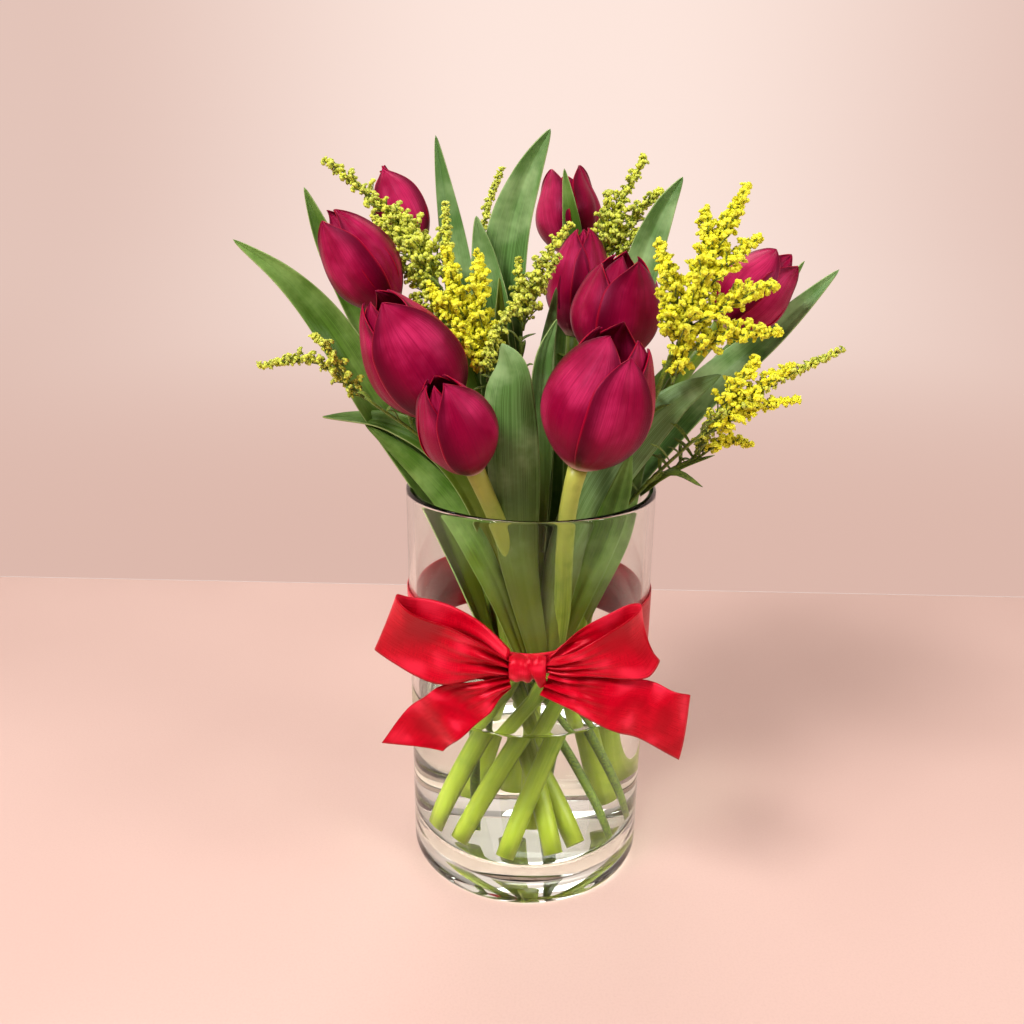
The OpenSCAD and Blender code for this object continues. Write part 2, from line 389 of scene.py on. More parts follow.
class Mixer:
    """A material while its nodes are being put together."""

    def __init__(self, name: str) -> None:
        """Starts a material with one Principled shader.

        Args:
            name: the material's name.
        """
        self.material = bpy.data.materials.new(name)
        self.material.use_nodes = True
        self.tree = self.material.node_tree
        self.tree.nodes.clear()
        self.output = self.tree.nodes.new("ShaderNodeOutputMaterial")
        self.shader = self.tree.nodes.new("ShaderNodeBsdfPrincipled")
        self.tree.links.new(
            self.shader.outputs["BSDF"], self.output.inputs["Surface"]
        )

    def node(self, kind: str, **settings: object) -> bpy.types.Node:
        """Adds a node and sets its own properties.

        Args:
            kind: the node's type.
            settings: its properties by name.

        Returns:
            The node.
        """
        made = self.tree.nodes.new(kind)
        for key, value in settings.items():
            setattr(made, key, value)
        return made

    def feed(self, socket: bpy.types.NodeSocket, value: object) -> None:
        """Links an output to a socket, or sets the socket's value.

        Args:
            socket: an input.
            value: an output, a number or a colour.
        """
        if isinstance(value, bpy.types.NodeSocket):
            self.tree.links.new(value, socket)
        else:
            socket.default_value = value

    def set(self, **inputs: object) -> None:
        """Sets or links the shader's sockets, named with _ for each space."""
        for key, value in inputs.items():
            self.feed(self.shader.inputs[key.replace("_", " ")], value)

    def coords(self, which: str, scale: Point = (1, 1, 1)) -> bpy.types.NodeSocket:
        """Object or UV coordinates, stretched by a scale.

        Args:
            which: "Object" or "UV".
            scale: the stretch along each axis.

        Returns:
            The coordinates.
        """
        source = self.node("ShaderNodeTexCoord")
        turn = self.node("ShaderNodeMapping")
        self.feed(turn.inputs["Vector"], source.outputs[which])
        turn.inputs["Scale"].default_value = scale
        return turn.outputs["Vector"]

    def split(self, vector: bpy.types.NodeSocket) -> Sequence[bpy.types.NodeSocket]:
        """The X, Y and Z of a vector.

        Args:
            vector: the vector's output.

        Returns:
            Its three outputs.
        """
        made = self.node("ShaderNodeSeparateXYZ")
        self.feed(made.inputs[0], vector)
        return made.outputs

    def noise(
        self,
        vector: bpy.types.NodeSocket,
        scale: float,
        detail: float = 3.0,
        rough: float = 0.5,
    ) -> bpy.types.NodeSocket:
        """A noise value from 0 to 1.

        Args:
            vector: where it is read.
            scale: how fine it is.
            detail: how many finer layers it has.
            rough: how strong those are.

        Returns:
            The noise.
        """
        made = self.node("ShaderNodeTexNoise")
        self.feed(made.inputs["Vector"], vector)
        made.inputs["Scale"].default_value = scale
        made.inputs["Detail"].default_value = detail
        made.inputs["Roughness"].default_value = rough
        return made.outputs["Fac"]

    def calc(self, what: str, a: object, b: object = 0.0) -> bpy.types.NodeSocket:
        """One step of arithmetic on two values.

        Args:
            what: the operation.
            a: the first value.
            b: the second value.

        Returns:
            The result.
        """
        made = self.node("ShaderNodeMath", operation=what)
        self.feed(made.inputs[0], a)
        self.feed(made.inputs[1], b)
        return made.outputs[0]

    def span(
        self, value: object, low: float, high: float, to: tuple[float, float] = (0, 1)
    ) -> bpy.types.NodeSocket:
        """Maps low to high onto another range, smoothly and clamped.

        Args:
            value: the value to map.
            low: where the range starts.
            high: where it ends.
            to: what those two become.

        Returns:
            The mapped value.
        """
        made = self.node("ShaderNodeMapRange", interpolation_type="SMOOTHSTEP")
        self.feed(made.inputs["Value"], value)
        made.inputs["From Min"].default_value = low
        made.inputs["From Max"].default_value = high
        made.inputs["To Min"].default_value = to[0]
        made.inputs["To Max"].default_value = to[1]
        return made.outputs["Result"]

    def blend(self, part: object, a: object, b: object) -> bpy.types.NodeSocket:
        """The colour at this part of the way from colour a to colour b.

        Args:
            part: how far, 0 to 1.
            a: a colour or an output.
            b: a colour or an output.

        Returns:
            The mixed colour.
        """
        made = self.node("ShaderNodeMix", data_type="RGBA")
        self.feed(made.inputs["Factor"], part)
        for socket, value in ((made.inputs[6], a), (made.inputs[7], b)):
            self.feed(socket, linear(value) if isinstance(value, tuple) else value)
        return made.outputs[2]

    def bump(
        self, height: bpy.types.NodeSocket, distance: float, strength: float = 1.0
    ) -> None:
        """Raises the surface by a height pattern, distance in mm.

        Args:
            height: the pattern.
            distance: how high it stands, in mm.
            strength: how strongly it counts.
        """
        made = self.node("ShaderNodeBump")
        made.inputs["Distance"].default_value = distance * MM
        made.inputs["Strength"].default_value = strength
        self.feed(made.inputs["Height"], height)
        self.feed(self.shader.inputs["Normal"], made.outputs["Normal"])


@dataclass(frozen=True)
class PetalFinish:
    """Satiny magenta petal skin with fine lengthwise streaks and a thin brighter rim, with painted
    shade towards its sides and foot and broad patches of painted highlight.
    """

    # deep is the colour of the painted shade
    deep: Colour = (70, 0, 20)
    vein: Colour = (122, 3, 45)
    body: Colour = (136, 3, 48)
    # bright is the colour of the painted highlight patches
    bright: Colour = (200, 44, 98)
    edge: Colour = (170, 4, 42)
    foot: Colour = (232, 196, 186)

    def make(self) -> bpy.types.Material:
        """The material, on UV where v runs from the petal's foot to its tip."""
        m = Mixer("petal")
        u, v, _ = m.split(m.coords("UV"))
        streaks = m.noise(m.coords("UV", (52, 1.8, 1)), 1.0, 6, 0.65)
        broad = m.noise(m.coords("Object"), 45, 3)
        off = m.calc("ABSOLUTE", m.calc("SUBTRACT", u, 0.5))
        colour = m.blend(m.span(streaks, 0.28, 0.6), self.vein, self.body)
        # painted highlight: broad random patches, strongest on the streaks, are blended towards
        # bright pink
        colour = m.blend(
            m.calc("MULTIPLY", m.span(broad, 0.44, 0.7), m.span(streaks, 0.3, 0.7, (0.3, 1))),
            colour,
            self.bright,
        )
        # painted shade: darker towards the petal's two sides and towards its foot, where shade
        # falls between and under the petals
        shade = m.calc(
            "ADD", m.span(off, 0.2, 0.45, (0, 0.8)), m.span(v, 0.35, 0.05, (0, 0.45))
        )
        colour = m.blend(shade, colour, self.deep)
        colour = m.blend(m.span(off, 0.46, 0.5, (0, 0.85)), colour, self.edge)
        colour = m.blend(
            m.calc(
                "MULTIPLY", m.span(v, 0.09, 0.0), m.span(streaks, 0.3, 0.6, (0.5, 1))
            ),
            colour,
            self.foot,
        )
        m.set(
            Base_Color=colour,
            Roughness=m.span(streaks, 0.3, 0.7, (0.36, 0.5)),
            Specular_IOR_Level=0.3,
            Sheen_Weight=0.03,
            Sheen_Roughness=0.35,
            Subsurface_Weight=0.06,
            Subsurface_Radius=(0.004, 0.001, 0.0015),
            Subsurface_Scale=0.6,
        )
        m.shader.inputs["Sheen Tint"].default_value = linear((255, 140, 190))
        m.shader.inputs["Specular Tint"].default_value = linear((255, 110, 170))
        m.bump(streaks, 0.35, 0.5)
        return m.material


class LeafTone(Enum):
    """How cool or warm the green of a leaf is: (dark, body, light). PALE is the cool green painted
    lighter, for a leaf that lies in shade.
    """

    # PALE: painted light, the cool green made lighter to make up for shade
    PALE = ((84, 118, 58), (132, 168, 106), (180, 206, 154))
    COOL = ((62, 98, 40), (106, 150, 78), (164, 196, 134))
    MID = ((50, 82, 16), (92, 134, 40), (136, 170, 88))
    WARM = ((74, 90, 18), (112, 134, 34), (156, 170, 70))


@dataclass(frozen=True)
class LeafFinish:
    """Waxy leaf skin with fine parallel veins, a pale margin and a yellower foot."""

    tone: LeafTone
    foot: Colour = (88, 92, 6)
    margin: Colour = (170, 188, 118)

    def make(self) -> bpy.types.Material:
        """The material, on UV where v runs from the leaf's foot to its tip."""
        dark, body, light = self.tone.value
        m = Mixer(f"tulip_leaf_{self.tone.name.lower()}")
        u, v, _ = m.split(m.coords("UV"))
        veins = m.noise(m.coords("UV", (60, 1.2, 1)), 1.0, 3, 0.6)
        bloom = m.noise(m.coords("Object"), 34, 4, 0.6)
        off = m.calc("ABSOLUTE", m.calc("SUBTRACT", u, 0.5))
        colour = m.blend(m.span(veins, 0.3, 0.7), dark, body)
        colour = m.blend(m.span(bloom, 0.42, 0.72, (0, 0.8)), colour, light)
        colour = m.blend(m.span(v, 0.55, 0.05, (0, 0.9)), colour, self.foot)
        colour = m.blend(m.span(off, 0.47, 0.5, (0, 0.7)), colour, self.margin)
        m.set(
            Base_Color=colour,
            Roughness=m.span(bloom, 0.3, 0.7, (0.36, 0.5)),
            Specular_IOR_Level=0.3,
        )
        m.bump(veins, 0.3, 0.5)
        return m.material


@dataclass(frozen=True)
class StemFinish:
    """Juicy stem skin, lime where it stands in the water and greener above it."""

    name: str
    high: Colour
    low: Colour = (158, 172, 40)
    waist: Colour = (92, 116, 20)

    def make(self) -> bpy.types.Material:
        """The material, on the height above the table and streaks along the stem."""
        m = Mixer(self.name)
        _, _, z = m.split(m.coords("Object"))
        streaks = m.noise(m.coords("UV", (14, 3, 1)), 1.0, 4, 0.6)
        mottle = m.noise(m.coords("Object"), 120, 3)
        colour = m.blend(m.span(z, 0.03, 0.115), self.low, self.waist)
        colour = m.blend(m.span(z, 0.13, 0.22), colour, self.high)
        colour = m.blend(
            m.span(streaks, 0.4, 0.72, (0, 0.4)), colour, (196, 202, 84)
        )
        colour = m.blend(m.span(mottle, 0.5, 0.75, (0, 0.35)), colour, (92, 120, 26))
        m.set(
            Base_Color=colour,
            Roughness=m.span(mottle, 0.3, 0.7, (0.35, 0.5)),
            Specular_IOR_Level=0.35,
            Subsurface_Weight=0.08,
            Subsurface_Radius=(0.003, 0.004, 0.001),
            Subsurface_Scale=0.6,
        )
        m.bump(streaks, 0.3, 0.5)
        return m.material


@dataclass(frozen=True)
class FloretFinish:
    """Goldenrod flower or bud: fine grained, darker and lighter in random patches."""

    name: str
    dark: Colour
    body: Colour
    light: Colour

    def make(self) -> bpy.types.Material:
        """The material, on Object coordinates."""
        m = Mixer(self.name)
        fine = m.noise(m.coords("Object"), 1500, 2)
        broad = m.noise(m.coords("Object"), 230, 2)
        colour = m.blend(m.span(broad, 0.3, 0.7), self.dark, self.body)
        colour = m.blend(m.span(fine, 0.4, 0.7, (0, 0.8)), colour, self.light)
        m.set(
            Base_Color=colour,
            Roughness=m.span(fine, 0.3, 0.7, (0.5, 0.7)),
            Sheen_Weight=0.15,
        )
        m.bump(fine, 0.3, 0.6)
        return m.material


@dataclass(frozen=True)
class SatinFinish:
    """Red satin: a fine cross weave with a soft directional gloss, a darker selvage, and broad
    patches of painted sheen and painted shade.
    """

    # deep is the weave's darker red and the selvage, and also the painted shade; gleam is the
    # painted sheen
    deep: Colour = (160, 0, 18)
    body: Colour = (208, 2, 34)
    gleam: Colour = (244, 44, 72)

    def make(self) -> bpy.types.Material:
        """The material, on UV where v runs along the ribbon."""
        m = Mixer("satin")
        u, _, _ = m.split(m.coords("UV"))
        weft = m.noise(m.coords("UV", (8, 420, 1)), 1.0, 2)
        warp = m.noise(m.coords("UV", (220, 6, 1)), 1.0, 2)
        weave = m.calc("ADD", weft, warp)
        off = m.calc("ABSOLUTE", m.calc("SUBTRACT", u, 0.5))
        lie = m.noise(m.coords("UV", (1.3, 4.5, 1)), 1.0, 2, 0.4)
        colour = m.blend(m.span(weave, 0.6, 1.2), self.deep, self.body)
        # painted shade and painted sheen: where the broad noise is low the ribbon is darkened
        # towards deep, and where it is high it is lit towards gleam
        colour = m.blend(m.span(lie, 0.5, 0.36, (0, 0.8)), colour, self.deep)
        colour = m.blend(m.span(lie, 0.5, 0.64, (0, 0.8)), colour, self.gleam)
        colour = m.blend(m.span(off, 0.475, 0.49, (0, 0.6)), colour, self.deep)
        m.set(
            Base_Color=colour,
            Roughness=m.span(warp, 0.3, 0.7, (0.26, 0.36)),
            Specular_IOR_Level=0.9,
            Sheen_Weight=0.03,
            Sheen_Roughness=0.3,
            Anisotropic=0.5,
        )
        m.shader.inputs["Sheen Tint"].default_value = linear((255, 120, 130))
        m.shader.inputs["Specular Tint"].default_value = linear((255, 96, 112))
        m.bump(weave, 0.08, 0.35)
        return m.material


@dataclass(frozen=True)
class ClearFinish:
    """A clear body, glass or water, that lets the lamps' light through."""

    name: str
    tint: Colour
    ior: float

    def make(self) -> bpy.types.Material:
        """The material: full transmission, with faint unevenness in its polish."""
        m = Mixer(self.name)
        haze = m.noise(m.coords("Object"), 60, 2)
        m.set(
            Base_Color=linear(self.tint),
            Transmission_Weight=1.0,
            IOR=self.ior,
            Roughness=m.span(haze, 0.3, 0.9, (0.0, 0.012)),
        )
        m.shader.inputs["Specular Tint"].default_value = linear((120, 120, 120))
        path = m.node("ShaderNodeLightPath")
        through = m.node("ShaderNodeBsdfTransparent")
        through.inputs["Color"].default_value = linear(self.tint)
        pick = m.node("ShaderNodeMixShader")
        m.feed(pick.inputs[0], path.outputs["Is Shadow Ray"])
        m.feed(pick.inputs[1], m.shader.outputs["BSDF"])
        m.feed(pick.inputs[2], through.outputs["BSDF"])
        m.feed(m.output.inputs["Surface"], pick.outputs["Shader"])
        return m.material


# ---------------------------------------------------------------- the vase


@dataclass
class Vase:
    """The glass cylinder and the water in it."""

    diameter: float = 120
    height: float = 200
    wall: float = 3.5
    base: float = 20
    foot_round: float = 4
    inner_round: float = 5
    water_top: float = 94
    sides: int = 144
    glass: ClearFinish = ClearFinish("glass", (250, 253, 251), 1.5)
    liquid: ClearFinish = ClearFinish("water", (249, 253, 251), 1.333)

    def turned(
        self, name: str, outline: Sequence[tuple[float, float]]
    ) -> bpy.types.Object:
        """A round body turned from an outline of (radius, height), pole to pole.

        Args:
            name: the piece's name.
            outline: the points, starting and ending on the axis.

        Returns:
            The body.
        """

        def ring(r: float, z: float) -> Callable[[float], Vector]:
            """A circle of radius r at height z."""
            return lambda u: Vector(
                (r * math.cos(2 * math.pi * u), r * math.sin(2 * math.pi * u), z)
            )

        piece = Bench.wrap(name, self.sides, [ring(r, z) for r, z in outline])
        Bench.smooth(piece)
        return piece

    def arc(
        self, r: float, z: float, radius: float, start: float, end: float, steps: int
    ) -> list[tuple[float, float]]:
        """Points of a rounded corner.

        Args:
            r: the corner centre's distance from the axis.
            z: its height.
            radius: the corner's radius.
            start: the first angle, in degrees above straight out.
            end: the last angle.
            steps: how many straight steps it is made of.

        Returns:
            The points as (radius, height).
        """
        out = []
        for i in range(steps + 1):
            a = math.radians(mix(start, end, i / steps))
            out.append((r + radius * math.cos(a), z + radius * math.sin(a)))
        return out

    def hollow(self, radius: float, floor: float) -> list[tuple[float, float]]:
        """The inner bottom's outline from the axis to the wall.

        Args:
            radius: the hollow's radius.
            floor: its floor's height.

        Returns:
            The points as (radius, height).
        """
        k = self.inner_round
        flat = [(radius - k) * part for part in (0, 0.02, 0.5, 0.97)]
        return [(r, floor) for r in flat] + self.arc(
            radius - k, floor + k, k, -90, 0, 7
        )

    def build_glass(self) -> bpy.types.Object:
        """The glass: its outside, rounded rim, inside and thick base.

        Returns:
            The body.
        """
        outer, inner = self.diameter / 2, self.diameter / 2 - self.wall
        lip = self.wall / 2
        outline = [(0, 0.6), (1, 0.6), (outer * 0.5, 0.6), (outer - 9, 0.6)]
        outline += [(outer - 8, 0.0)]
        outline += self.arc(
            outer - self.foot_round, self.foot_round, self.foot_round, -90, 0, 7
        )
        outline += [(outer, z) for z in (5, 12, 60, 130, self.height - lip - 1)]
        outline += self.arc(outer - lip, self.height - lip, lip, 0, 180, 10)
        outline += [(inner, z) for z in (self.height - lip - 1, 130, 60, 30)]
        outline += reversed(self.hollow(inner, self.base))
        piece = self.turned("vase_glass", outline)
        Bench.dress(piece, self.glass.make())
        return piece

    def build_water(self) -> bpy.types.Object:
        """The water, a hair larger than the hollow so that no air lies between.

        Returns:
            The body.
        """
        radius = self.diameter / 2 - self.wall + 0.15
        creep = 1.6
        outline = self.hollow(radius, self.base - 0.15)
        outline += [(radius, z) for z in (35, 60, 80, self.water_top)]
        outline += [
            (radius, self.water_top + creep),
            (radius - 0.4, self.water_top + creep * 0.62),
            (radius - 1.1, self.water_top + creep * 0.28),
            (radius - 2.4, self.water_top + creep * 0.06),
            (radius - 4.5, self.water_top),
            (radius * 0.5, self.water_top),
            (0, self.water_top),
        ]
        piece = self.turned("vase_water", outline)
        Bench.dress(piece, self.liquid.make())
        return piece

    def build(self) -> None:
        """Makes both bodies and sets them in place."""
        finish_piece(self.build_glass(), "glass", "vase")
        finish_piece(self.build_water(), "water", "water")


# ---------------------------------------------------------------- tulips


@dataclass(frozen=True)
class Petal:
    """One petal: where it faces, how wide and tall it is, and how it lies.

    The bearing is in degrees from straight ahead towards the right.
    """

    bearing: float
    spread: float = 62
    top: float = 0.96
    layer: float = 0.0
    flare: float = 0.0
    lean: float = 0.0


def whorl(turn: float, top: float = 0.97, flare: float = 0.0) -> list[Petal]:
    """Six petals in an even whorl: three outside, three inside.

    Args:
        turn: the bearing of the first outer petal, in degrees.
        top: how tall the outer petals are, as a part of the bloom's length.
        flare: how far their tips stand out, in mm.

    Returns:
        The petals.
    """
    outer = [
        Petal(turn + 120 * k, 64, top - 0.03 * k, 0.5 * k, flare) for k in range(3)
    ]
    inner = [
        Petal(turn + 60 + 120 * k, 58, top - 0.02 * k, 1.5 + 0.5 * k, flare * 0.5)
        for k in range(3)
    ]
    return outer + inner


@dataclass
class Tulip:
    """A tulip: its stem from the vase's floor to the bloom, and the bloom's six petals."""

    number: int
    foot: tuple[float, float]
    waist: tuple[float, float]
    base: Point
    tip: Point
    width: float
    openness: float
    petals: list[Petal]
    stem_radius: float = 4.2
    stand_z: float = 20
    waist_z: float = 90
    foot_z: float = 23
    knee_z: float = 100

    def on_line(self, z: float) -> Vector:
        """The point at a height on the stem's straight part.

        Args:
            z: the height.

        Returns:
            The point.
        """
        k = (z - self.stand_z) / (self.waist_z - self.stand_z)
        x, y = (mix(a, b, k) for a, b in zip(self.foot, self.waist))
        return Vector((x, y, z))

    def stem_path(self) -> list[Vector]:
        """Points along the stem's middle: straight in the water, then one smooth bend.

        Returns:
            The points, from the foot up.
        """
        low, knee = self.on_line(self.foot_z), self.on_line(self.knee_z)
        top, tip = Vector(self.base), Vector(self.tip)
        reach = (top - knee).length
        ctrl = [
            knee,
            knee + (knee - low).normalized() * reach * 0.3,
            top - (tip - top).normalized() * reach * 0.35,
            top,
        ]
        straight = [low.lerp(knee, i / 6) for i in range(6)]
        return straight + [bezier(ctrl, i / 18) for i in range(19)]

    def build_stem(self, material: bpy.types.Material) -> bpy.types.Object:
        """The stem, a little thicker at its cut foot and swelling under the bloom.

        Args:
            material: its skin.

        Returns:
            The stem.
        """
        path = self.stem_path()
        last = len(path) - 1
        rng = random.Random(self.number)
        radii = []
        for i in range(last + 1):
            t = i / last
            r = self.stem_radius * (1.03 - 0.12 * t) * rng.uniform(0.985, 1.015)
            radii.append(r + 0.5 * ease((t - 0.93) / 0.07))
        piece = Bench.tube(f"stem_{self.number:02d}", path, radii, 18)
        Bench.dress(piece, material)
        return piece

    def swell(self, t: float) -> float:
        """How wide the closed bloom is at part t of its length, of its half width.

        Args:
            t: how far up the bloom.

        Returns:
            The part of the half width.
        """
        if t < 0.42:
            body = math.sin(math.pi / 2 * t / 0.42) ** 0.55
        else:
            body = 0.12 + 0.88 * max(
                math.cos(math.pi / 2 * (t - 0.42) / 0.58), 0
            ) ** 0.75
        wide = mix(body, 0.86, self.openness * ease((t - 0.5) / 0.5))
        return max(wide, 4.3 / (self.width / 2)) if t < 0.2 else wide

    def build_petal(self, index: int, petal: Petal) -> bpy.types.Object:
        """One petal: a cupped blade with a soft rib, rippled skin and lifted edges.

        Args:
            index: its number within the bloom, from 0.
            petal: its place and shape.

        Returns:
            The petal, thickened and smooth.
        """
        base, tip = Vector(self.base), Vector(self.tip)
        up = (tip - base).normalized()
        length = (tip - base).length
        ahead = Vector((0, -1, 0))
        ahead = (ahead - up * ahead.dot(up)).normalized()
        right = up.cross(ahead)
        rng = random.Random(self.number * 10 + index)
        wave = [rng.uniform(0, 2 * math.pi) for _ in range(4)]
        radius = self.width / 2
        inset = petal.layer * 1.15

        def place(u: float, v: float) -> Vector:
            """The petal's surface at part u across and v up.

            Args:
                u: the first part, 0 to 1.
                v: the second part, 0 to 1.

            Returns:
                The point, in mm.
            """
            s = 2 * u - 1
            part = 1 - (1 - v) ** 1.15
            t = part * petal.top
            blade = (
                1.0
                if v < 0.62
                else max(math.cos(math.pi / 2 * (v - 0.62) / 0.38), 0) ** 0.8
            )
            half = math.radians(petal.spread) * blade
            t -= 0.025 * abs(s) ** 2.2 * blade * ease(v * 3) * (1 - v)
            out = radius * self.swell(clamp(t)) - inset * ease(v * 5)
            out = max(out, 1.2)
            edge = abs(s) ** 3 * ease(v * 2.2) * (1.15 - v * 0.45)
            out += edge * (0.9 + 0.5 * math.sin(5 * v + wave[0] + 2 * s))
            out -= 0.75 * math.exp(-((s / 0.13) ** 2)) * ease(v * 4) * (1 - 0.4 * v)
            out += 0.22 * math.sin(8.5 * s + wave[1] + 2 * v) * ease(v * 3)
            out += 0.12 * math.sin(17 * s + wave[2] - 3 * v) * ease(v * 3)
            out += petal.flare * ease((v - 0.62) / 0.38) ** 1.5
            a = math.radians(petal.bearing + petal.lean * v * v) + half * s
            a += 0.03 * math.sin(6 * v + wave[3]) * v
            return (
                base
                + up * (t * length)
                + (ahead * math.cos(a) + right * math.sin(a)) * out
            )

        piece = Bench.grid(f"petal_{index}", 14, 20, place)
        Bench.weld(piece)
        Bench.thicken(piece, 0.7)
        Bench.soften(piece)
        Bench.smooth(piece)
        return piece

    def build_bloom(self, material: bpy.types.Material) -> bpy.types.Object:
        """The whole bloom as one piece.

        Args:
            material: the petals' skin.

        Returns:
            The bloom.
        """
        parts = [self.build_petal(i, p) for i, p in enumerate(self.petals)]
        piece = Bench.join(f"bloom_{self.number:02d}", parts)
        Bench.dress(piece, material)
        return piece

    def build(
        self, stem_skin: bpy.types.Material, petal_skin: bpy.types.Material
    ) -> None:
        """Makes the stem and bloom and sets them in place.

        Args:
            stem_skin: the stem's material.
            petal_skin: the petals' material.
        """
        name = f"{self.number:02d}"
        finish_piece(self.build_stem(stem_skin), "tulip_stem", f"tulip_stem_{name}")
        finish_piece(self.build_bloom(petal_skin), "petal", f"tulip_bloom_{name}")


TULIPS = [
    Tulip(1, (24, -36), (-11, 4), (-64, -3, 282), (-91, -8, 323), 32, 0.1, [
        Petal(-28, 60, 0.95, 0.0), Petal(52, 48, 0.97, 0.5), Petal(110, 50, 0.93, 1.0),
        Petal(-95, 52, 0.9, 1.2), Petal(170, 58, 1.0, 1.6), Petal(20, 50, 0.97, 2.2)]),
    Tulip(2, (14, -46), (-5, -6), (-38, -25, 238), (-67, -35, 291), 43, 0.1, [
        Petal(20, 58, 0.94, 0.0), Petal(-62, 46, 0.98, 0.7, 0.3),
        Petal(98, 56, 0.97, 1.1), Petal(-24, 44, 0.97, 1.9),
        Petal(165, 60, 1.0, 1.4), Petal(-130, 50, 0.93, 1.8)]),
    Tulip(3, (-42, -26), (-12, -15), (-24, -50, 220), (-39, -66, 262), 32, 0.08, [
        Petal(38, 62, 0.96, 0.0), Petal(-58, 52, 0.97, 0.6),
        Petal(120, 58, 0.97, 1.0), Petal(-120, 50, 0.98, 1.2),
        Petal(-8, 46, 0.96, 1.6), Petal(180, 56, 0.98, 1.8)]),
    Tulip(4, (-31, -36), (3, -20), (20, -47, 221), (36, -52, 282), 48, 0.18, [
        Petal(-52, 60, 0.93, 0.9, 0.5, 22), Petal(20, 36, 0.85, -0.3),
        Petal(72, 44, 0.9, 0.7, 0.5), Petal(42, 44, 0.94, 1.9, 1.0),
        Petal(176, 60, 1.0, 1.4, -1.0), Petal(-120, 52, 0.93, 1.9)]),
    Tulip(5, (-10, -50), (15, -21), (32, -9, 259), (40, -8, 308), 39, 0.1, [
        Petal(34, 60, 0.93, 0.0, 0.0), Petal(-62, 50, 0.86, 0.6, 0.5),
        Petal(112, 52, 0.97, 0.8, 0.5), Petal(-20, 42, 0.95, 1.7),
        Petal(180, 60, 1.0, 1.4), Petal(-120, 52, 0.95, 1.9)]),
    Tulip(6, (2, -16), (4, 6), (20, 23, 267), (22, 23, 317), 30, 0.1, [
        Petal(-42, 60, 0.98, 0.5), Petal(44, 60, 1.0, 0.0), Petal(165, 62, 0.98, 0.8),
        Petal(2, 50, 0.98, 1.6), Petal(105, 52, 0.97, 1.8), Petal(-120, 52, 0.97, 2.0)]),
    Tulip(7, (-4, 32), (0, 28), (19, 56, 303), (14, 67, 344), 33, 0.4, [
        Petal(-55, 56, 0.98, 0.0), Petal(60, 50, 0.99, 0.4, 1.0), Petal(170, 60, 0.95, 0.8),
        Petal(-5, 44, 0.86, 1.6), Petal(112, 48, 0.96, 1.8), Petal(-118, 50, 0.98, 2.0)]),
    Tulip(8, (-19, 20), (-8, 17), (-57, 34, 305), (-73, 36, 343), 26, -0.4, whorl(10, 1.0)),
    Tulip(9, (23, 39), (26, 14), (86, 6, 274), (115, 10, 306), 34, 0.32, [
        Petal(-50, 54, 0.92, 0.0, 0.5), Petal(32, 50, 0.95, 0.4, 0.5),
        Petal(105, 50, 0.99, 0.8, 1.5), Petal(-8, 44, 1.0, 1.6),
        Petal(170, 56, 0.97, 1.3), Petal(-110, 50, 0.96, 1.8)]),
    Tulip(10, (28, 12), (18, 9), (46, 54, 258), (54, 64, 299), 33, 0.1, whorl(-40)),
]


@dataclass
class Leaf:
    """A strap-shaped tulip leaf that clasps the bunch and curves outwards."""

    number: int
    spine: list[Point]
    foot_faces: Point
    tip_faces: Point
    width: float
    tone: LeafTone = LeafTone.MID
    cup: float = 1.0
    ripple: float = 1.0
    curl: float = 0.0

    def swell(self, t: float) -> float:
        """How wide the leaf is at part t of its length, of its half width.

        Args:
            t: how far along the leaf.

        Returns:
            The part of the half width.
        """
        if t < 0.5:
            return 0.42 + 0.58 * math.sin(math.pi * t)
        return max(math.cos(math.pi * (t - 0.5)), 0) ** 0.8

    def build(self, materials: dict[LeafTone, bpy.types.Material]) -> None:
        """Makes the leaf and sets it in place.

        Args:
            materials: the leaf skins by tone.
        """
        foot, end = Vector(self.foot_faces), Vector(self.tip_faces)
        rng = random.Random(500 + self.number)
        wave = [rng.uniform(0, 2 * math.pi) for _ in range(4)]

        def place(u: float, v: float) -> Vector:
            """The leaf's surface at part u across and v along.

            Args:
                u: the first part, 0 to 1.
                v: the second part, 0 to 1.

            Returns:
                The point, in mm.
            """
            s = 2 * u - 1
            at = spline(self.spine, v)
            along = (spline(self.spine, v + 0.01) - spline(self.spine, v - 0.01))
            along = along.normalized()
            side = along.cross(foot.lerp(end, v)).normalized()
            face = side.cross(along)
            half = max(self.width / 2 * self.swell(v), 0.0)
            depth = half * (s * s - 0.4) * 0.35 * self.cup
            depth -= 0.35 * math.exp(-((s / 0.12) ** 2)) * self.cup
            edge = abs(s) ** 2.5 * ease(v * 4) * ease((1 - v) * 4)
            depth += self.ripple * edge * math.sin(11 * v + wave[0] + (1.5 if s > 0 else 0))
            depth += 0.35 * math.sin(7 * s + wave[1] + 3 * v) * ease((1 - v) * 3)
            depth += self.curl * s * ease((v - 0.55) / 0.45) * half
            lift = 0.25 * half * math.sin(9 * v + wave[2]) * edge * 0.3
            return at + side * (half * s * 0.93 + lift) + face * depth

        piece = Bench.grid(f"leaf_{self.number:02d}", 12, 44, place)
        Bench.weld(piece)
        Bench.thicken(piece, 0.9)
        Bench.soften(piece)
        Bench.smooth(piece)
        Bench.dress(piece, materials[self.tone])
        finish_piece(piece, "tulip_leaf", f"tulip_leaf_{self.number:02d}")


